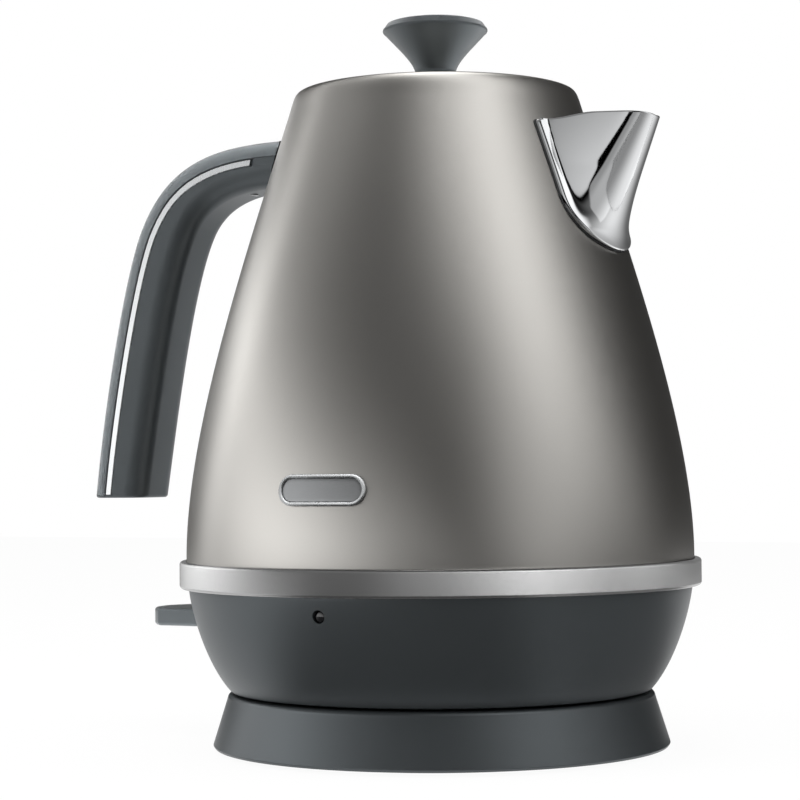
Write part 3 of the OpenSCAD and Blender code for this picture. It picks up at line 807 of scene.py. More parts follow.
def handle_pieces():
    """The handle: outer shell, inner grip, two metal inlays and the cap in its end."""
    size = sizes()
    edge, inner, shell = size.handle_edge, size.grip_edge, size.handle_shell
    start, width, groove = size.inlay_from, size.inlay_width, size.inlay_depth
    half, seam, soft = HANDLE_HALF, 0.05 * MM, 0.25 * MM
    groove_from, groove_to, groove_step = 0.105, 2 - 1.0 / HANDLE_END, 0.0006

    def spine(place, depth):
        draw = end_draw(place)
        side = half - draw
        loop = [Vector((start, side - soft)), Vector((start - soft, side))]
        loop += arc((edge, half - edge), edge - draw, 90, 180, CORNER_STEPS)
        loop += arc((edge, edge - half), edge - draw, 180, 270, CORNER_STEPS)
        loop += [Vector((start - soft, -side)), Vector((start, soft - side)),
                 Vector((start, shell - half))]
        loop += arc((edge, edge - half), edge - shell, 270, 180, CORNER_STEPS)
        loop += arc((edge, half - edge), edge - shell, 180, 90, CORNER_STEPS)
        return loop + [Vector((start, half - shell))]

    def grip(place, depth):
        draw = end_draw(place)
        side, wall = half - draw, half - GRIP_WALL
        near, far = start + seam, start + width
        sunk = half - groove if groove_from < place < groove_to else side - seam
        loop = [Vector((near, sunk)), Vector((far, sunk)), Vector((far, max(sunk, side - soft))),
                Vector((far + soft, side))]
        loop += arc((depth - inner, half - inner), inner - draw, 90, 0, CORNER_STEPS)
        loop += arc((depth - inner, inner - half), inner - draw, 0, -90, CORNER_STEPS)
        loop += [Vector((far + soft, -side)), Vector((far, -max(sunk, side - soft))),
                 Vector((far, -sunk)), Vector((near, -sunk)), Vector((near, -wall))]
        loop += arc((depth - inner, inner - half), inner - GRIP_WALL, -90, 0, CORNER_STEPS)
        loop += arc((depth - inner, half - inner), inner - GRIP_WALL, 0, 90, CORNER_STEPS)
        return loop + [Vector((near, wall))]

    def inlay(place, depth):
        low, high, lip = start + 0.25 * MM, start + width - seam, 0.2 * MM
        floor = half - groove + seam
        return [Vector(p) for p in ((low, floor), (low, half - lip), (low + lip, half),
                                    (high - lip, half), (high, half - lip), (high, floor))]

    def plug(place, depth):
        low, high, side = shell + seam, depth - GRIP_WALL - seam, half - GRIP_WALL - seam
        near, far = edge - shell, inner - GRIP_WALL
        loop = arc((low + near, side - near), near, 90, 180, 6)
        loop += arc((low + near, near - side), near, 180, 270, 6)
        loop += arc((high - far, far - side), far, 270, 360, 6)
        return loop + arc((high - far, side - far), far, 0, 90, 6)

    def bar(name, loops, slot, node):
        make_piece(name, *lofted(loops, cap_first=True, cap_last=True), "kettle", slot, node)

    places = handle_stations(0, 2)
    bar("handle_shell", handle_skin(places, spine), "slate_plastic", "handle_spine")
    places = sorted(places + [groove_from, groove_from + groove_step, groove_to - groove_step,
                              groove_to])
    bar("handle_inner", handle_skin(places, grip), "slate_plastic", "handle_grip")
    strip = handle_skin(handle_stations(0.125, 2 - 1.2 / HANDLE_END), inlay)
    mirrored = [[Vector((p.x, -p.y, p.z)) for p in loop] for loop in strip]
    bar("handle_inlay_1", strip, "satin_aluminium", "handle_inlays")
    bar("handle_inlay_2", mirrored, "satin_aluminium", "handle_inlays")
    bar("handle_plug", handle_skin([1.9, 1.95, 2 - 0.5 / HANDLE_END], plug), "slate_plastic",
        "handle_end_cap")


def lid_pieces():
    """The lid's metal top, its moulded plug and the collar that it sits in."""
    top = curve_mm([(6.9, 224.2), (20, 224.2), (34, 223.4), (41.6, 221.9)], 24)
    rim = outline_mm((41.9, 221.75), (42.06, 221.6), (42.1, 221.45), (42.1, 221.0), (42.0, 220.9),
                     (37.9, 220.9))
    under = curve_mm([(36, 221.4), (28, 222.7), (18, 223.1), (4.2, 223.1)], 16)
    make_piece("lid_top", *spun(outline_mm((4.2, 224.2)) + top + rim + under), "lid",
               "champagne_lacquer", "lid_cap")
    plug = rounded_mm((3.2, 218.1, 0.3), (3.2, 220.7, 0), (36, 220.7, 0.4), (37.4, 219.5, 0.4),
                      (37.4, 216.7, 0.2), (36.6, 216.7, 0), (36.6, 213.9, 0),
                      (37.4, 213.9, 0.2), (37.4, 210.5, 0.8), (35.4, 210.5, 0.8),
                      (35.4, 218.1, 1), steps=4)
    make_piece("lid_plug", *spun(plug), "lid", "black_plastic", "lid_inner")
    collar = rounded_mm((38.5, 207, 0.6), (40.5, 207, 0.6), (40.5, 218.6, 0),
                        (44.2, 218.6, 0.2), (44.2, 220.4, 0.4), (38.5, 220.4, 0.5), steps=4)
    make_piece("mouth_collar", *spun(collar), "kettle", "black_plastic", "mouth_ring")


def lid_ring():
    """The soft ring that seals the lid in its collar."""
    ring = rounded_mm((36.7, 214, 0.2), (38.1, 214, 0.5), (38.1, 216.6, 0.5),
                      (36.7, 216.6, 0.2))
    make_piece("lid_ring", *spun(ring, steps=128), "lid", "silicone", "lid_seal")


def lid_knob():
    """The flared knob on the lid."""
    neck = sizes().knob_neck / MM
    foot = outline_mm((1.6, 223.2), (4, 223.2), (4, 224.25), (neck, 224.25))
    flare = curve_mm([(neck, 229.3), (neck + 1, 233), (11.5, 236.3), (17.1, 242.3)], 32)
    rim = [p * MM for p in arc((17, 243.4), 0.9, -40, 60, 8)]
    crown = curve_mm([(16.4, 245.7), (14, 246.8), (7, 247.3), (0, 247.3)], 20)
    bore = outline_mm((0, 238), (1.6, 238))
    make_piece("lid_knob", *spun(foot + flare + rim + crown + bore, steps=160), "lid",
               "slate_plastic", "knob")


# The spout leans out: its nose's centre and radius change evenly with height.
SPOUT_LIP = 207.6 * MM
NOSE_LEAN = 0.736
NOSE_GROW = 0.336
NOSE_OUT = 67.4 * MM
NOSE_PROUD = 0.35  # millimetres that the nose stands proud of its cone
# From this many millimetres under the lip, the nose runs out with the square of the depth.
RUN_OUT_FROM, RUN_OUT = 18, 0.0032
# From this many millimetres under the lip, and over this many more, the nose and the
# spout's sides turn into one arc from foot to foot.
ARC_FROM, ARC_OVER = 15, 15
ARC_WIDEST = 45 * MM
# Millimetres up where the feet of the sides are furthest apart, and half of how far that is.
FEET_HEIGHT, FEET_HALF = 190.5, 20.65
FEET_DRAWN_ABOVE, FEET_DRAWN_BELOW = 0.0045, 0.006
# The upper rows rise to the lip over the mouth, and a little less at the nose's tip.
LIP_RISE = 1.9 * MM
RISE_FROM = 192 * MM
MOUTH_HALF = 19.2 * MM
MOUTH_EDGE = 5.5 * MM
TIP_HALF = 12 * MM
TIP_DIP = 0.35
FLANGE_TOP = 206.6 * MM
FLANGE_TURN = 182 * MM  # where the flange's straight sides start to turn in
FLANGE_OUT = 1.5 * MM
FLANGE_BACK = 0.5 * MM
FLANGE_CORNER = 1.4 * MM
FLANGE_ROLL = 0.6 * MM
# The flange's edge isn't rolled across the mouth, within this half width and above this.
UNROLLED_HALF = 19 * MM
UNROLLED_FROM = 190 * MM
# The fillet between cone and flange grows over a height, down from where the flange turns.
FILLET = 0.8 * MM
FILLET_GROW = 2.6 * MM
FILLET_OVER = 8 * MM
SPOUT_COLUMNS = 96
COLUMN_CROWDING = 1.35  # above 1, the columns are closer together at the sides


def side_line(height):
    """Half width between the feet of the spout's sides at a height."""
    off = height / MM - FEET_HEIGHT
    drawn = FEET_DRAWN_ABOVE if off > 0 else FEET_DRAWN_BELOW
    return (FEET_HALF - drawn * off * off) * MM


def cone_out(y, height, inset):
    """How far out the leaning spout reaches, inset inside its outer face."""
    y = abs(y)
    down = SPOUT_LIP - height
    side = side_line(height)
    foot = wall_radius(height) + FLANGE_OUT
    foot_out = math.sqrt(max(foot * foot - side * side, 0))
    radius = sizes().nose_radius + NOSE_GROW * down
    below = max(down / MM - RUN_OUT_FROM, 0)
    front = NOSE_OUT - NOSE_LEAN * down + radius + (NOSE_PROUD + RUN_OUT * below * below) * MM
    if front > foot_out + 1 * MM:
        whole = (front * front - foot_out * foot_out - side * side) / (2 * (front - foot_out))
        share = eased((down / MM - ARC_FROM) / ARC_OVER)
        radius += (min(front - whole, ARC_WIDEST) - radius) * share
    centre = front - radius
    foot_out -= centre
    distance = math.hypot(foot_out, side)
    turn = math.atan2(side, foot_out) - math.acos(min(radius / distance, 1))
    turn = max(turn, math.radians(3))
    inner = radius - inset
    if y <= inner * math.sin(turn):
        return centre + math.sqrt(inner * inner - y * y)
    return centre + (inner - y * math.sin(turn)) / math.cos(turn)


def joined(a, b, reach):
    """The larger of two lengths, with the corner between them filled over reach."""
    apart = max(reach - abs(a - b), 0) / reach
    return max(a, b) + apart ** 3 * reach / 6


def spout_outline(half, low):
    """One side of the flange's outline, from its top to its lowest point."""
    shoulder = FLANGE_TOP - FLANGE_CORNER
    top = arc((half - FLANGE_CORNER, shoulder), FLANGE_CORNER, 90, 0, 6)
    side = [Vector((half, shoulder - (shoulder - FLANGE_TURN) * k / 26)) for k in range(1, 26)]
    bottom = bezier([(half, FLANGE_TURN), (half, 170 * MM), (0.55 * half, low + 0.1 * MM),
                     (0.3 * MM, low)], 40)
    return top + side + bottom


def to_outline(outline, y, z):
    """Distance from a point to an outline."""
    here = Vector((abs(y), z))
    best = 1.0
    for a, b in zip(outline, outline[1:]):
        along = b - a
        share = max(0, min(1, (here - a).dot(along) / along.length_squared))
        best = min(best, (a + along * share - here).length)
    return best


def spout_height(y, level):
    """Height of the spout's grid at y in a row: the upper rows rise to the lip's curve."""
    raised = max((level - RISE_FROM) / (FLANGE_TOP - RISE_FROM), 0) ** 1.5
    opening = eased((MOUTH_HALF - abs(y)) / MOUTH_EDGE)
    tip = 1 - TIP_DIP * max(0, 1 - abs(y) / TIP_HALF) ** 2
    return level + LIP_RISE * opening * tip * raised


def spout_front(outline, y, level):
    """A point of the spout's outside, with a fillet at its foot and a rolled edge."""
    height = spout_height(y, level)
    face = math.sqrt((wall_radius(height) + FLANGE_OUT) ** 2 - y * y)
    fillet = FILLET + FILLET_GROW * max(0, min(1, (FLANGE_TURN - height) / FILLET_OVER))
    out = joined(cone_out(y, height, 0), face, fillet)
    near = FLANGE_ROLL - min(to_outline(outline, y, level), FLANGE_ROLL)
    if abs(y) < UNROLLED_HALF and level > UNROLLED_FROM:
        near = 0
    out -= FLANGE_ROLL - math.sqrt(FLANGE_ROLL * FLANGE_ROLL - near * near)
    return Vector((out, y, height))


def spout_back(y, level):
    """A point of the spout's inside, which ends on the wall."""
    height = spout_height(y, level)
    rear = math.sqrt((wall_radius(height) + FLANGE_BACK) ** 2 - y * y)
    return Vector((max(cone_out(y, height, sizes().spout_wall), rear), y, height))


def spout_lip(front, back):
    """Rows of points over the lip, which is half round, from the outside to the inside."""
    lips = []
    for angle in (30, 60, 90, 120, 150):
        turn = math.radians(angle)
        lip = []
        for a, b in zip(front, back):
            middle = (a + b) / 2
            reach = a - middle
            rise = min(reach.length, 0.5 * MM)
            lip.append(middle + reach * math.cos(turn) + Vector((0, 0, rise * math.sin(turn))))
        lips.append(lip)
    return lips


def spout_piece():
    """The chrome spout: a leaning open cone that runs out into its flange."""
    outline = spout_outline(sizes().spout_half, 165 * MM)
    shares = [2 * k / SPOUT_COLUMNS - 1 for k in range(SPOUT_COLUMNS + 1)]
    across = [math.copysign(1 - (1 - abs(share)) ** COLUMN_CROWDING, share)
              for share in shares]
    outer = [[spout_front(outline, edge.x * share, edge.y) for share in across]
             for edge in outline]
    inner = [[spout_back(edge.x * share, edge.y) for share in across] for edge in outline]
    rows = outer + inner + spout_lip(outer[0], inner[0])
    points = [p for row in rows for p in row]
    count = SPOUT_COLUMNS + 1
    behind = len(outline) * count
    starts = range(0, behind - count, count)
    faces = []
    for start in starts:
        for a in range(start, start + count - 1):
            faces.append([a, a + 1, a + 1 + count, a + count])
            b = behind + a
            faces.append([b, b + count, b + 1 + count, b + 1])
    for start in starts:
        for a in (start, start + count - 1):
            faces.append([a, a + count, behind + a + count, behind + a])
    for a in range(behind - count, behind - 1):
        faces.append([a, a + 1, behind + a + 1, behind + a])
    rings = [range(start, start + count) for start in
             (0, *range(2 * behind, 2 * behind + 5 * count, count), behind)]
    for low, high in zip(rings, rings[1:]):
        for c in range(count - 1):
            faces.append([low[c], high[c], high[c + 1], low[c + 1]])
    for c in (0, count - 1):
        faces.append([ring[c] for ring in rings])
    make_piece("chrome_spout", points, faces, "kettle", "chrome_plate", "spout", sharp=50)


def spout_seal():
    """The dark gasket that shows round the spout's flange."""
    outline = spout_outline(sizes().spout_half + 0.55 * MM, 164.4 * MM)
    whole = outline + [Vector((-p.x, p.y)) for p in reversed(outline)]
    middle = Vector((0, 188 * MM))
    loops = []
    for share, lift in ((1, 0.02), (1, 0.32), (0.992, 0.45), (0.62, 0.45), (0.62, 0.02)):
        loop = []
        for p in (middle + (p - middle) * share for p in whole):
            radius = wall_radius(p.y) + lift * MM
            loop.append(Vector((math.sqrt(radius * radius - p.x * p.x), p.x, p.y)))
        loops.append(loop)
    make_piece("spout_seal", *lofted(loops, closed=True), "kettle", "silicone", "spout_gasket")


CAP_STEPS = 14


def filled_in(start, count, tip):
    """Faces across a loop of a stadium, from its tip to its other tip."""
    up = [start + (tip + i) % count for i in range(count // 2 + 1)]
    down = [start + (tip - i) % count for i in range(count // 2 + 1)]
    return [list(dict.fromkeys([up[i], up[i + 1], down[i + 1], down[i]]))
            for i in range(count // 2)]


def on_wall_loops(length, height, layers, place):
    """Stadium loops on the wall, one for each (inset, lift) in millimetres."""
    return [[place(p, lift * MM) for p in stadium(length, height, inset * MM, CAP_STEPS, 16)]
            for inset, lift in layers]


BADGE_LENGTH = 30.4 * MM
BADGE_WIDTH = 9.8 * MM
BADGE_HEIGHT = 87.8 * MM
BADGE_TURN = math.radians(0.9)
BADGE_SIDE = (math.sin(BADGE_TURN), -math.cos(BADGE_TURN))


def gauge_on_wall(p, lift):
    """A point of the gauge, which stands upright under the handle."""
    return on_wall((-1, 0), p.y, GAUGE_HEIGHT + p.x, lift)


def badge_on_wall(p, lift):
    """A point of the badge, which lies across the front."""
    return on_wall(BADGE_SIDE, p.x, BADGE_HEIGHT + p.y, lift)


def plate_on_wall(name, length, height, layers, place, slot, node):
    """A filled stadium plate that follows the wall."""
    loops = on_wall_loops(length, height, layers, place)
    points, faces = lofted(loops)
    count = len(loops[0])
    faces += filled_in(0, count, CAP_STEPS // 2)
    faces += filled_in((len(loops) - 1) * count, count, CAP_STEPS // 2)
    make_piece(name, points, faces, "kettle", slot, node)


def water_gauge():
    """The clear window of the water gauge and the seal round it."""
    plate_on_wall("gauge_pane", GAUGE_LENGTH, GAUGE_WIDTH,
                  ((5, -1.45), (3, -1.45), (1.3, -1.45), (1.22, -1.3), (1.22, 0.6), (1.35, 0.95),
                   (1.7, 1.13), (2.2, 1.18), (3.5, 1.2), (5, 1.2)),
                  gauge_on_wall, "clear_plastic", "gauge_window")
    layers = ((0.06, -1.4), (0.06, 0.35), (0.2, 0.65), (0.55, 0.78), (0.95, 0.7), (1.14, 0.45),
              (1.14, -1.4))
    loops = on_wall_loops(GAUGE_LENGTH, GAUGE_WIDTH, layers, gauge_on_wall)
    make_piece("gauge_rim", *lofted(loops, closed=True), "kettle", "silicone", "gauge_seal")


def front_badge():
    """The bare oval badge: a bright raised rim round a brushed field."""
    rim = sizes().badge_rim / MM
    layers = ((0, 0.06), (0, 1.05), (0.12, 1.32), (0.38, 1.47), (0.65, 1.5), (rim - 0.35, 1.42),
              (rim - 0.1, 1.2), (rim, 0.95), (rim, 0.06))
    loops = on_wall_loops(BADGE_LENGTH, BADGE_WIDTH, layers, badge_on_wall)
    make_piece("badge_ring", *lofted(loops, closed=True), "kettle", "satin_aluminium",
               "badge_rim")
    plate_on_wall("badge_plate", BADGE_LENGTH, BADGE_WIDTH,
                  ((4.4, 0.06), (2.6, 0.06), (rim + 0.03, 0.06), (rim + 0.03, 0.7),
                   (rim + 0.2, 0.8), (2.4, 0.8), (3.5, 0.8), (4.5, 0.8)),
                  badge_on_wall, "badge_plate", "badge_field")


def pilot_light():
    """The small round lens of the pilot light."""
    outline = outline_mm((0, 77), (3, 77), (3, 79), (2, 79), (2, 82.4), (1.92, 82.75), (1.7, 83.0),
                         (1.3, 83.13), (0.7, 83.19), (0, 83.2))
    points, faces = spun(outline, closed=False, steps=48)
    turned = [Vector((x, -z, LENS_HEIGHT + y)) for x, y, z in points]
    make_piece("pilot_bead", turned, faces, "kettle", "black_gloss", "pilot_lens")


def drawn_in(outline, amount):
    """An outline moved inside itself by amount."""
    area = sum(a.x * b.y - b.x * a.y for a, b in zip(outline, outline[1:] + outline[:1]))
    sign = 1 if area > 0 else -1
    out = []
    for i, here in enumerate(outline):
        before = (here - outline[i - 1]).normalized()
        after = (outline[(i + 1) % len(outline)] - here).normalized()
        normals = [Vector((-d.y, d.x)) * sign for d in (before, after)]
        both = (normals[0] + normals[1]).normalized()
        out.append(here + both * (amount / max(both.dot(normals[0]), 0.3)))
    return out


def switch_lever():
    """The switch lever that sticks out below the handle."""
    half, sag, side_end = 14 * MM, 7.5 * MM, -104.6 * MM
    tip_radius = (half * half + sag * sag) / (2 * sag)
    spread = math.degrees(math.asin(half / tip_radius))
    tip = arc((side_end - sag + tip_radius, 0), tip_radius, 180 - spread, 180 + spread, 40)
    outline = outline_mm((-66, 14), (-92, 14)) + tip
    outline += outline_mm((-92, -14), (-66, -14), (-66, -5), (-59.5, -5), (-59.5, 5), (-66, 5))
    low, high, edge = 39.3 * MM, 45.5 * MM, sizes().lever_edge
    loops = []
    for k in range(6):
        turn = math.radians(90 * k / 5)
        shape = drawn_in(outline, edge * (1 - math.sin(turn)))
        loops.append([upright(p, low + edge * (1 - math.cos(turn))) for p in shape])
    loops += [[Vector((p.x, p.y, low + high - p.z)) for p in loop] for loop in reversed(loops)]
    lever = make_piece("switch_lever", *lofted(loops, cap_first=True, cap_last=True), "lever",
                       "slate_plastic", "power_lever")
    bore = circle((-70 * MM, 42.4 * MM), 2.02 * MM)
    cut_away(lever, *prism(bore, facing_y, -20 * MM, 20 * MM))


def inner_finishes():
    """Gives each piece of the frame that still shows the finish of its slot."""
    for part in frame["record"]["subparts"]:
        node = frame["nodes"][part["node"]]
        if node.hide_render:
            continue
        node.data.materials.clear()
        node.data.materials.append(finish(part["material_slot"]))


# ---- studio -----------------------------------------------------------------

CAMERA_PLACE = Vector((0.3478, -0.6976, 0.09433))
CAMERA_LENS = 103.2
CAMERA_TURN = math.radians(26.5)
CAMERA_YAW, CAMERA_PITCH, CAMERA_ROLL = -0.0168, 0.0297, -0.0087


def add_camera():
    """The camera, a little above the table and turned towards the spout."""
    cos, sin = math.cos, math.sin
    along = Vector((cos(CAMERA_TURN), sin(CAMERA_TURN), 0))
    ahead = Vector((-sin(CAMERA_TURN), cos(CAMERA_TURN), 0))
    up = Vector((0, 0, 1))

    def turned(a, b, c):
        return along * a + ahead * b + up * c

    forward = turned(sin(CAMERA_YAW) * cos(CAMERA_PITCH), cos(CAMERA_YAW) * cos(CAMERA_PITCH),
                     sin(CAMERA_PITCH))
    level = turned(cos(CAMERA_YAW), -sin(CAMERA_YAW), 0)
    top = level.cross(forward)
    right = level * cos(CAMERA_ROLL) + top * sin(CAMERA_ROLL)
    top = top * cos(CAMERA_ROLL) - level * sin(CAMERA_ROLL)
    data = bpy.data.cameras.new("Camera")
    data.lens = CAMERA_LENS
    data.sensor_width = 36
    data.clip_start = 0.05
    camera = linked("Camera", data)
    camera.matrix_world = Matrix((
        (right.x, top.x, -forward.x, CAMERA_PLACE.x),
        (right.y, top.y, -forward.y, CAMERA_PLACE.y),
        (right.z, top.z, -forward.z, CAMERA_PLACE.z),
        (0, 0, 0, 1)))
    bpy.context.scene.camera = camera


def seen_directly(tree):
    """One where a ray comes from the camera, a mirror or clear plastic."""
    path = tree.nodes.new("ShaderNodeLightPath")
    both = math_node(tree, "MAXIMUM", path.outputs["Is Camera Ray"], path.outputs["Is Glossy Ray"])
    return math_node(tree, "MAXIMUM", both, path.outputs["Is Transmission Ray"])


def add_world(level):
    """A white background, with soft even light of this level on everything else."""
    world = bpy.data.worlds.new("Studio")
    world.use_nodes = True
    tree = world.node_tree
    tree.nodes.clear()
    background = tree.nodes.new("ShaderNodeBackground")
    background.inputs["Color"].default_value = (1, 1, 1, 1)
    strength = math_node(tree, "MULTIPLY", seen_directly(tree), 1 - level)
    tree.links.new(math_node(tree, "ADD", strength, level), background.inputs["Strength"])
    output = tree.nodes.new("ShaderNodeOutputWorld")
    tree.links.new(background.outputs["Background"], output.inputs["Surface"])
    bpy.context.scene.world = world


def sheet(name, columns, rows, place):
    """A sheet of the studio in a grid; place turns two shares of it into a point."""
    points = [tuple(place(i / columns, j / rows))
              for j in range(rows + 1) for i in range(columns + 1)]
    starts = [j * (columns + 1) + i for j in range(rows) for i in range(columns)]
    faces = [(a, a + 1, a + columns + 2, a + columns + 1) for a in starts]
    mesh = bpy.data.meshes.new(name)
    mesh.from_pydata(points, [], faces)
    made = linked(name, mesh)
    return made


FLOOR_SIZE = 4
FLOOR_DROP = 0.2 * MM


def add_floor():
    """A pale floor that keeps the kettle's soft shadow."""
    floor = sheet("floor", 24, 24, lambda across, up: (
        (across - 0.5) * FLOOR_SIZE, (up - 0.5) * FLOOR_SIZE, -FLOOR_DROP))
    material, tree, shader = start_finish("floor")
    shader.inputs["Base Color"].default_value = (0.85, 0.85, 0.85, 1)
    shader.inputs["Roughness"].default_value = 0.9
    shader.inputs["Specular IOR Level"].default_value = 0
    glow = tree.nodes.new("ShaderNodeEmission")
    glow.inputs["Strength"].default_value = 1.02
    mix = tree.nodes.new("ShaderNodeMixShader")
    tree.links.new(math_node(tree, "MULTIPLY", seen_directly(tree), 0.93), mix.inputs["Fac"])
    tree.links.new(shader.outputs["BSDF"], mix.inputs[1])
    tree.links.new(glow.outputs["Emission"], mix.inputs[2])
    output = tree.nodes["Material Output"]
    tree.links.new(mix.outputs["Shader"], output.inputs["Surface"])
    floor.data.materials.append(material)


def glow_material(name, level, cover, fades):
    """A see-through glow that fades to its edges along each axis of its chart.

    A fade is an axis and the share of it that fades, half at each end. Level is what the
    middle adds, and cover how much it hides of what is behind it.
    """
    material = bpy.data.materials.new(name)
    material.use_nodes = True
    tree = material.node_tree
    tree.nodes.clear()
    place = tree.nodes.new("ShaderNodeUVMap")
    apart = tree.nodes.new("ShaderNodeSeparateXYZ")
    tree.links.new(place.outputs["UV"], apart.inputs["Vector"])
    fade = None
    for axis, share in fades.items():
        edge = math_node(tree, "PINGPONG", apart.outputs[axis], 0.5)
        step = ranged(tree, edge, 0, 1, 0, share / 2)
        step.node.interpolation_type = "SMOOTHSTEP"
        fade = step if fade is None else math_node(tree, "MULTIPLY", fade, step)
    glow = tree.nodes.new("ShaderNodeEmission")
    tree.links.new(math_node(tree, "MULTIPLY", fade, level), glow.inputs["Strength"])
    clear = tree.nodes.new("ShaderNodeBsdfTransparent")
    shade = ranged(tree, fade, 1, 1 - cover, 0, 1)
    tree.links.new(shade, clear.inputs["Color"])
    both = tree.nodes.new("ShaderNodeAddShader")
    tree.links.new(clear.outputs["BSDF"], both.inputs[0])
    tree.links.new(glow.outputs["Emission"], both.inputs[1])
    output = tree.nodes.new("ShaderNodeOutputMaterial")
    tree.links.new(both.outputs["Shader"], output.inputs["Surface"])
    return material


# Pieces that have panels of their own, and that the others leave dark.
LIT_ALONE = {"spout": ("chrome_spout",), "band": ("steel_band",), "knob": ("lid_knob",),
             "shell": ("handle_shell",), "handle": ("handle_inner", "handle_plug"),
             "lever": ("switch_lever",), "badge": ("badge_ring",)}


def lit_group(group):
    """The pieces that a panel lights: those of one group, or all that are in no group."""
    name = f"only_{group}" if group else "the_rest"
    lit = bpy.data.collections.get(name)
    if lit is None:
        lit = bpy.data.collections.new(name)
        for piece in bpy.data.objects:
            if any(piece.name in LIT_ALONE[g] for g in ([group] if group else LIT_ALONE)):
                lit.objects.link(piece)
        for member in lit.collection_objects:
            member.light_linking.link_state = "INCLUDE" if group else "EXCLUDE"
    return lit


def mirrored_only(name, place, level, cover, fades, start=0):
    """A glowing or dark sheet that only mirrors see; start is where its chart begins."""
    columns, rows = 36, 18
    made = sheet(name, columns, rows, place)
    mesh = made.data
    chart = mesh.uv_layers.new(name="panel")
    for loop in mesh.loops:
        up, across = divmod(loop.vertex_index, columns + 1)
        chart.data[loop.index].uv = (across / columns, start + (1 - start) * up / rows)
    mesh.materials.append(glow_material(name, level, cover, fades))
    made.visible_camera = False
    made.visible_diffuse = False
    made.visible_transmission = False
    made.visible_shadow = False
    made.visible_volume_scatter = False
    return made


PANEL_MIDDLE = Vector((0, 0, 0.13))
PANEL_REACH = 0.9
PANEL_STEP = 2 * MM  # each panel stands this much behind the one before
CURTAIN_REACH = 1.0
CEILING_SIZE = 0.9
CEILING_HEIGHT = 0.95
FRONT = math.atan2(CAMERA_PLACE.y, CAMERA_PLACE.x)
HAIR = 0.00001  # the share of a sheet that fades where its edges meet


def direction(turn, lift):
    """The way out at an angle round the upright axis and an elevation."""
    return Vector((math.cos(turn) * math.cos(lift), math.sin(turn) * math.cos(lift),
                   math.sin(lift)))


def add_panel(reach, name, azimuth, spread, lean, low, high, level, piece=None,
              soft=(1, 0.8), start=0):
    """A soft upright light that only mirrors see: one piece, or all the rest.

    The azimuth is from the camera's side, to the right, at an elevation of 20 degrees;
    lean is how far the panel turns for each degree up, and low and high are elevations.
    A start of 0.5 keeps the lower edge bright, so that only the upper one fades.
    """
    def place(across, up):
        lift = low + (high - low) * up
        turn = azimuth + spread * (across - 0.5) + lean * (lift - 20)
        return PANEL_MIDDLE + direction(FRONT + math.radians(turn), math.radians(lift)) * reach

    panel = mirrored_only(name, place, level, 0, {"X": soft[0], "Y": soft[1]}, start)
    panel.light_linking.receiver_collection = lit_group(piece)


def add_curtain(level):
    """The dim room round the panels, which hides the white background from mirrors."""
    def place(across, up):
        turn, lift = 2 * math.pi * across, math.radians(-12 + 102 * up)
        return PANEL_MIDDLE + direction(turn, lift) * CURTAIN_REACH

    curtain = mirrored_only("curtain", place, level, 1, {"X": HAIR})
    curtain.light_linking.receiver_collection = lit_group(None)


def add_ceiling(level):
    """A soft light overhead that only mirrors see."""
    def place(across, up):
        return ((across - 0.5) * CEILING_SIZE, (up - 0.5) * CEILING_SIZE, CEILING_HEIGHT)

    ceiling = mirrored_only("ceiling", place, level, 0, {"X": 0.8, "Y": 0.8})
    ceiling.light_linking.receiver_collection = lit_group(None)


def add_card(name, azimuth, spread, near, far, lift, cover=0, level=0, piece=None, soft=1):
    """A flat card round the kettle that only mirrors see, dark or with a glow for a piece."""
    def place(across, up):
        turn = FRONT + math.radians(azimuth + spread * (across - 0.5))
        reach = near + (far - near) * up
        return (math.cos(turn) * reach, math.sin(turn) * reach, lift)

    card = mirrored_only(name, place, level, cover, {"X": soft})
    if piece:
        card.light_linking.receiver_collection = lit_group(piece)


LAMP_MIDDLE = Vector((0, 0, 0.12))


def add_lamp(name, azimuth, elevation, distance, width, height, power):
    """A soft area lamp that faces the kettle; its azimuth is from the camera's side."""
    data = bpy.data.lights.new(name, "AREA")
    data.shape = "RECTANGLE"
    data.size, data.size_y = width, height
    data.energy = power
    lamp = linked(name, data)
    away = direction(FRONT + math.radians(azimuth), math.radians(elevation))
    lamp.location = LAMP_MIDDLE + away * distance
    lamp.rotation_euler = away.to_track_quat("Z", "Y").to_euler()
    lamp.visible_glossy = False


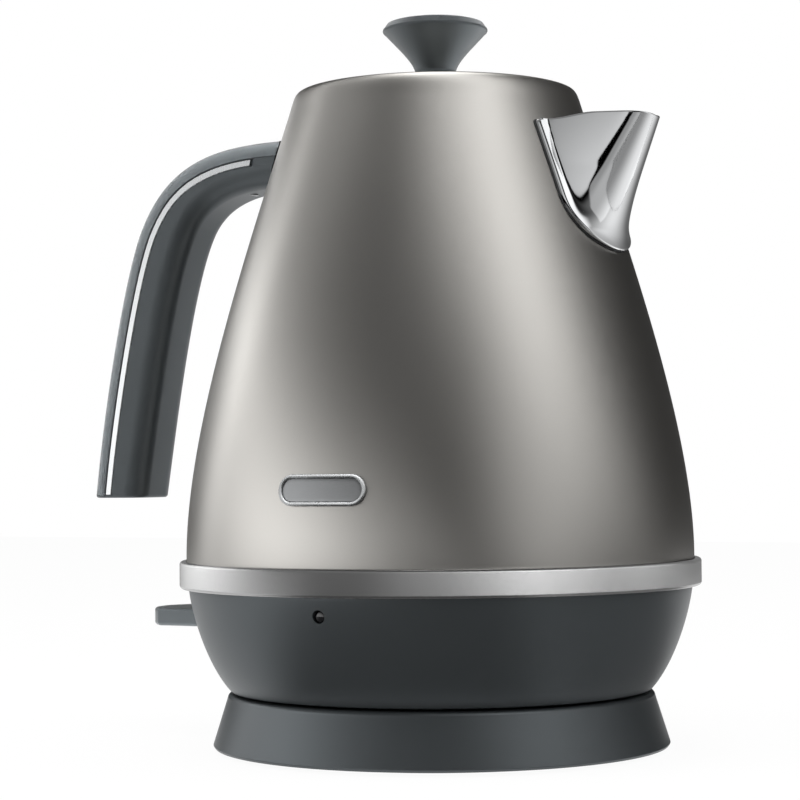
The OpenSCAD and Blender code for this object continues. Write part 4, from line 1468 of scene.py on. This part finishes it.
# Name, azimuth, spread, lean, lowest and highest elevation, level, piece, soft, start.
PANELS = (
    ("spout_round", -66, 200, 0, 8, 120, 0.2, "spout", (0.1, 0.04)),
    ("spout_front", 4, 58, 0, 8, 54, 0.45, "spout", (0.15, 1), 0.5),
    ("spout_side", 110, 150, 0, -13, 40, 0.18, "spout", (0.2, 1), 0.5),
    ("spout_right", 105, 84, 0, -13, 66, 0.72, "spout", (1, 1), 0.5),
    ("spout_low", 60, 64, 0, -10, 8, 0.3, "spout", (0.12, 0.3)),
    ("spout_strip", 98, 50, 0, 20, 64, 0.9, "spout", (0.5, 0.5)),
    ("left_tall", -99.5, 145, -1.54, -60, 31, 2.74),
    ("left_high", -118, 78, 1.43, 14, 130, 1.08),
    ("right_wide", 45, 76, -0.04, -59, 56, 0.86),
    ("right_high", 78, 103, -2.0, 14, 130, 2.1),
    ("back_left", -117, 23, 0.23, -60, 130, 1.45),
    ("right_tall", 67, 65, -0.85, -21, 130, 1.34),
    ("left_strip", -140, 150, -2.0, 10, 23, 1.27),
    ("left_low", -44, 21, -2.0, -17, 19, 0.83),
    ("band_round", 0, 359, 0, -20, 60, 0.28, "band", (0.01, 0.2)),
    ("band_left", -118, 100, 0, -25, 35, 2, "band"),
    ("band_front", -5, 60, 0, -25, 35, 0.5, "band"),
    ("band_right", 38, 90, 0, -25, 35, 2.2, "band"),
    ("band_side", 88, 100, 0, -25, 35, 1.1, "band"),
    ("lever_round", -85, 230, 0, -8, 60, 2.3, "lever"),
    ("lever_top", 0, 359, 0, 50, 120, 7, "lever", (0.01, 1)),
    ("badge_round", 0, 359, 0, -60, 120, 0.9, "badge", (0.01, 0.1)),
    ("badge_top", 0, 359, 0, 20, 120, 0.9, "badge", (0.01, 0.5)),
    ("handle_round", 0, 359, 0, -60, 120, 0.5, "handle", (0.01, 0.1)),
    ("handle_front", -55, 90, 0, -60, 60, 0.35, "handle"),
    ("handle_left", -135, 130, 0, -60, 100, 1.7, "handle"),
    ("handle_right", 122, 110, 0, -60, 60, 1.05, "handle"),
    ("handle_top", 0, 359, 0, 40, 120, 0.6, "handle", (0.01, 1)),
    ("shell_round", 0, 359, 0, -60, 120, 0.7, "shell", (0.01, 0.1)),
    ("shell_left", -100, 170, 0, -60, 100, 1.9, "shell"),
    ("shell_top", 0, 359, 0, 30, 120, 1.6, "shell", (0.01, 1)),
    ("knob_round", 0, 359, 0, -60, 60, 0.7, "knob", (0.01, 0.1)),
    ("knob_back", 180, 200, 0, 20, 120, 2.5, "knob"),
)


def studio_set():
    """White room with soft side lamps, and the panels that the metal mirrors."""
    add_camera()
    add_world(0.5)
    add_floor()
    add_curtain(0.03)
    for k, panel in enumerate(PANELS):
        add_panel(PANEL_REACH + PANEL_STEP * k, *panel)
    add_ceiling(3)
    # Cards: azimuth, spread, nearest and furthest reach, and height.
    add_card("knob_right", 95, 150, 0.01, 0.08, 0.2258, level=1.8, piece="knob")
    add_card("knob_left", -100, 150, 0.01, 0.08, 0.2259, level=0.8, piece="knob")
    add_card("lever_glow", -70, 300, 0.08, 1.02, 0.0009, level=1.8, piece="lever")
    add_card("front_card", -12, 132, 0.08, 1.02, 0.0004, cover=0.88, soft=0.5)
    add_card("side_card", 78, 104, 0.08, 1.02, 0.0006, cover=0.73, soft=0.5)
    add_card("far_floor", 0, 359, 0.89, 1.02, 0.001, cover=1, soft=0.001)
    add_card("spout_glow", 105, 84, 0.3, 0.9, 0.0008, level=0.62, piece="spout")
    # Lamps: azimuth, elevation, distance, width, height and power.
    add_lamp("left_lamp", -75, 25, 1.3, 0.7, 0.9, 7)
    add_lamp("right_lamp", 80, 30, 1.3, 0.6, 0.9, 4.5)
    add_lamp("top_lamp", -20, 75, 1.2, 0.6, 0.6, 4)
    scene = bpy.context.scene
    scene.view_settings.view_transform = "Standard"
    scene.cycles.transparent_max_bounces = 64  # a mirrored ray crosses many panels


# ---- operators ----------------------------------------------------------------

class KETTLE_OT_wall(Operator):
    """Makes the lacquered wall and the bright band under it"""

    bl_idname = "kettle.wall"
    bl_label = "Wall and band"
    bl_options = {"REGISTER", "UNDO"}

    def execute(self, context):
        body_wall()
        bright_band()
        return {"FINISHED"}


class KETTLE_OT_bowl(Operator):
    """Makes the dark bowl under the wall"""

    bl_idname = "kettle.bowl"
    bl_label = "Dark bowl"
    bl_options = {"REGISTER", "UNDO"}

    def execute(self, context):
        dark_bowl()
        return {"FINISHED"}


class KETTLE_OT_base(Operator):
    """Makes the power base with its foot ring and connector"""

    bl_idname = "kettle.base"
    bl_label = "Power base"
    bl_options = {"REGISTER", "UNDO"}

    def execute(self, context):
        power_base()
        return {"FINISHED"}


class KETTLE_OT_handle(Operator):
    """Makes the handle with its metal inlays"""

    bl_idname = "kettle.handle"
    bl_label = "Handle"
    bl_options = {"REGISTER", "UNDO"}

    def execute(self, context):
        handle_pieces()
        return {"FINISHED"}


class KETTLE_OT_lid(Operator):
    """Makes the lid, its plug, its seal and the collar"""

    bl_idname = "kettle.lid"
    bl_label = "Lid"
    bl_options = {"REGISTER", "UNDO"}

    def execute(self, context):
        lid_pieces()
        lid_ring()
        return {"FINISHED"}


class KETTLE_OT_knob(Operator):
    """Makes the flared knob"""

    bl_idname = "kettle.knob"
    bl_label = "Knob"
    bl_options = {"REGISTER", "UNDO"}

    def execute(self, context):
        lid_knob()
        return {"FINISHED"}


class KETTLE_OT_spout(Operator):
    """Makes the chrome spout and its gasket"""

    bl_idname = "kettle.spout"
    bl_label = "Spout"
    bl_options = {"REGISTER", "UNDO"}

    def execute(self, context):
        spout_piece()
        spout_seal()
        return {"FINISHED"}


class KETTLE_OT_gauge(Operator):
    """Makes the water gauge's window and seal"""

    bl_idname = "kettle.gauge"
    bl_label = "Water gauge"
    bl_options = {"REGISTER", "UNDO"}

    def execute(self, context):
        water_gauge()
        return {"FINISHED"}


class KETTLE_OT_badge(Operator):
    """Makes the bare badge and the pilot light's lens"""

    bl_idname = "kettle.badge"
    bl_label = "Badge and pilot light"
    bl_options = {"REGISTER", "UNDO"}

    def execute(self, context):
        front_badge()
        pilot_light()
        return {"FINISHED"}


class KETTLE_OT_lever(Operator):
    """Makes the switch lever"""

    bl_idname = "kettle.lever"
    bl_label = "Switch lever"
    bl_options = {"REGISTER", "UNDO"}

    def execute(self, context):
        switch_lever()
        return {"FINISHED"}


class KETTLE_OT_inner_finishes(Operator):
    """Gives the inner pieces their finishes"""

    bl_idname = "kettle.inner_finishes"
    bl_label = "Inner finishes"
    bl_options = {"REGISTER", "UNDO"}

    def execute(self, context):
        inner_finishes()
        return {"FINISHED"}


class KETTLE_OT_studio(Operator):
    """Sets up the camera, the floor, the background and the lights"""

    bl_idname = "kettle.studio"
    bl_label = "Studio"
    bl_options = {"REGISTER", "UNDO"}

    def execute(self, context):
        studio_set()
        return {"FINISHED"}


STEPS = (KETTLE_OT_wall, KETTLE_OT_bowl, KETTLE_OT_base, KETTLE_OT_handle, KETTLE_OT_lid,
         KETTLE_OT_knob, KETTLE_OT_spout, KETTLE_OT_gauge, KETTLE_OT_badge, KETTLE_OT_lever,
         KETTLE_OT_inner_finishes, KETTLE_OT_studio)


class KETTLE_PT_panel(Panel):
    """Lists the kettle's sizes, colours and steps"""

    bl_idname = "KETTLE_PT_panel"
    bl_label = "Cordless Kettle"
    bl_space_type = "VIEW_3D"
    bl_region_type = "UI"
    bl_category = "Kettle"

    def draw(self, context):
        layout = self.layout
        for group in (context.scene.kettle_sizes, context.scene.kettle_colours):
            column = layout.column(align=True)
            for name in group.__annotations__:
                column.prop(group, name)
        column = layout.column(align=True)
        for step in STEPS:
            column.operator(step.bl_idname)


CLASSES = (KettleSizes, KettleColours, *STEPS, KETTLE_PT_panel)


def register():
    """Registers the classes and the scene's settings."""
    for cls in CLASSES:
        bpy.utils.register_class(cls)
    bpy.types.Scene.kettle_sizes = PointerProperty(type=KettleSizes)
    bpy.types.Scene.kettle_colours = PointerProperty(type=KettleColours)


def unregister():
    """Takes the scene's settings and the classes away again."""
    del bpy.types.Scene.kettle_colours
    del bpy.types.Scene.kettle_sizes
    for cls in reversed(CLASSES):
        bpy.utils.unregister_class(cls)


def main():
    register()
    for step in STEPS:
        group, name = step.bl_idname.split(".")
        getattr(getattr(bpy.ops, group), name)()


if __name__ == "__main__":
    main()
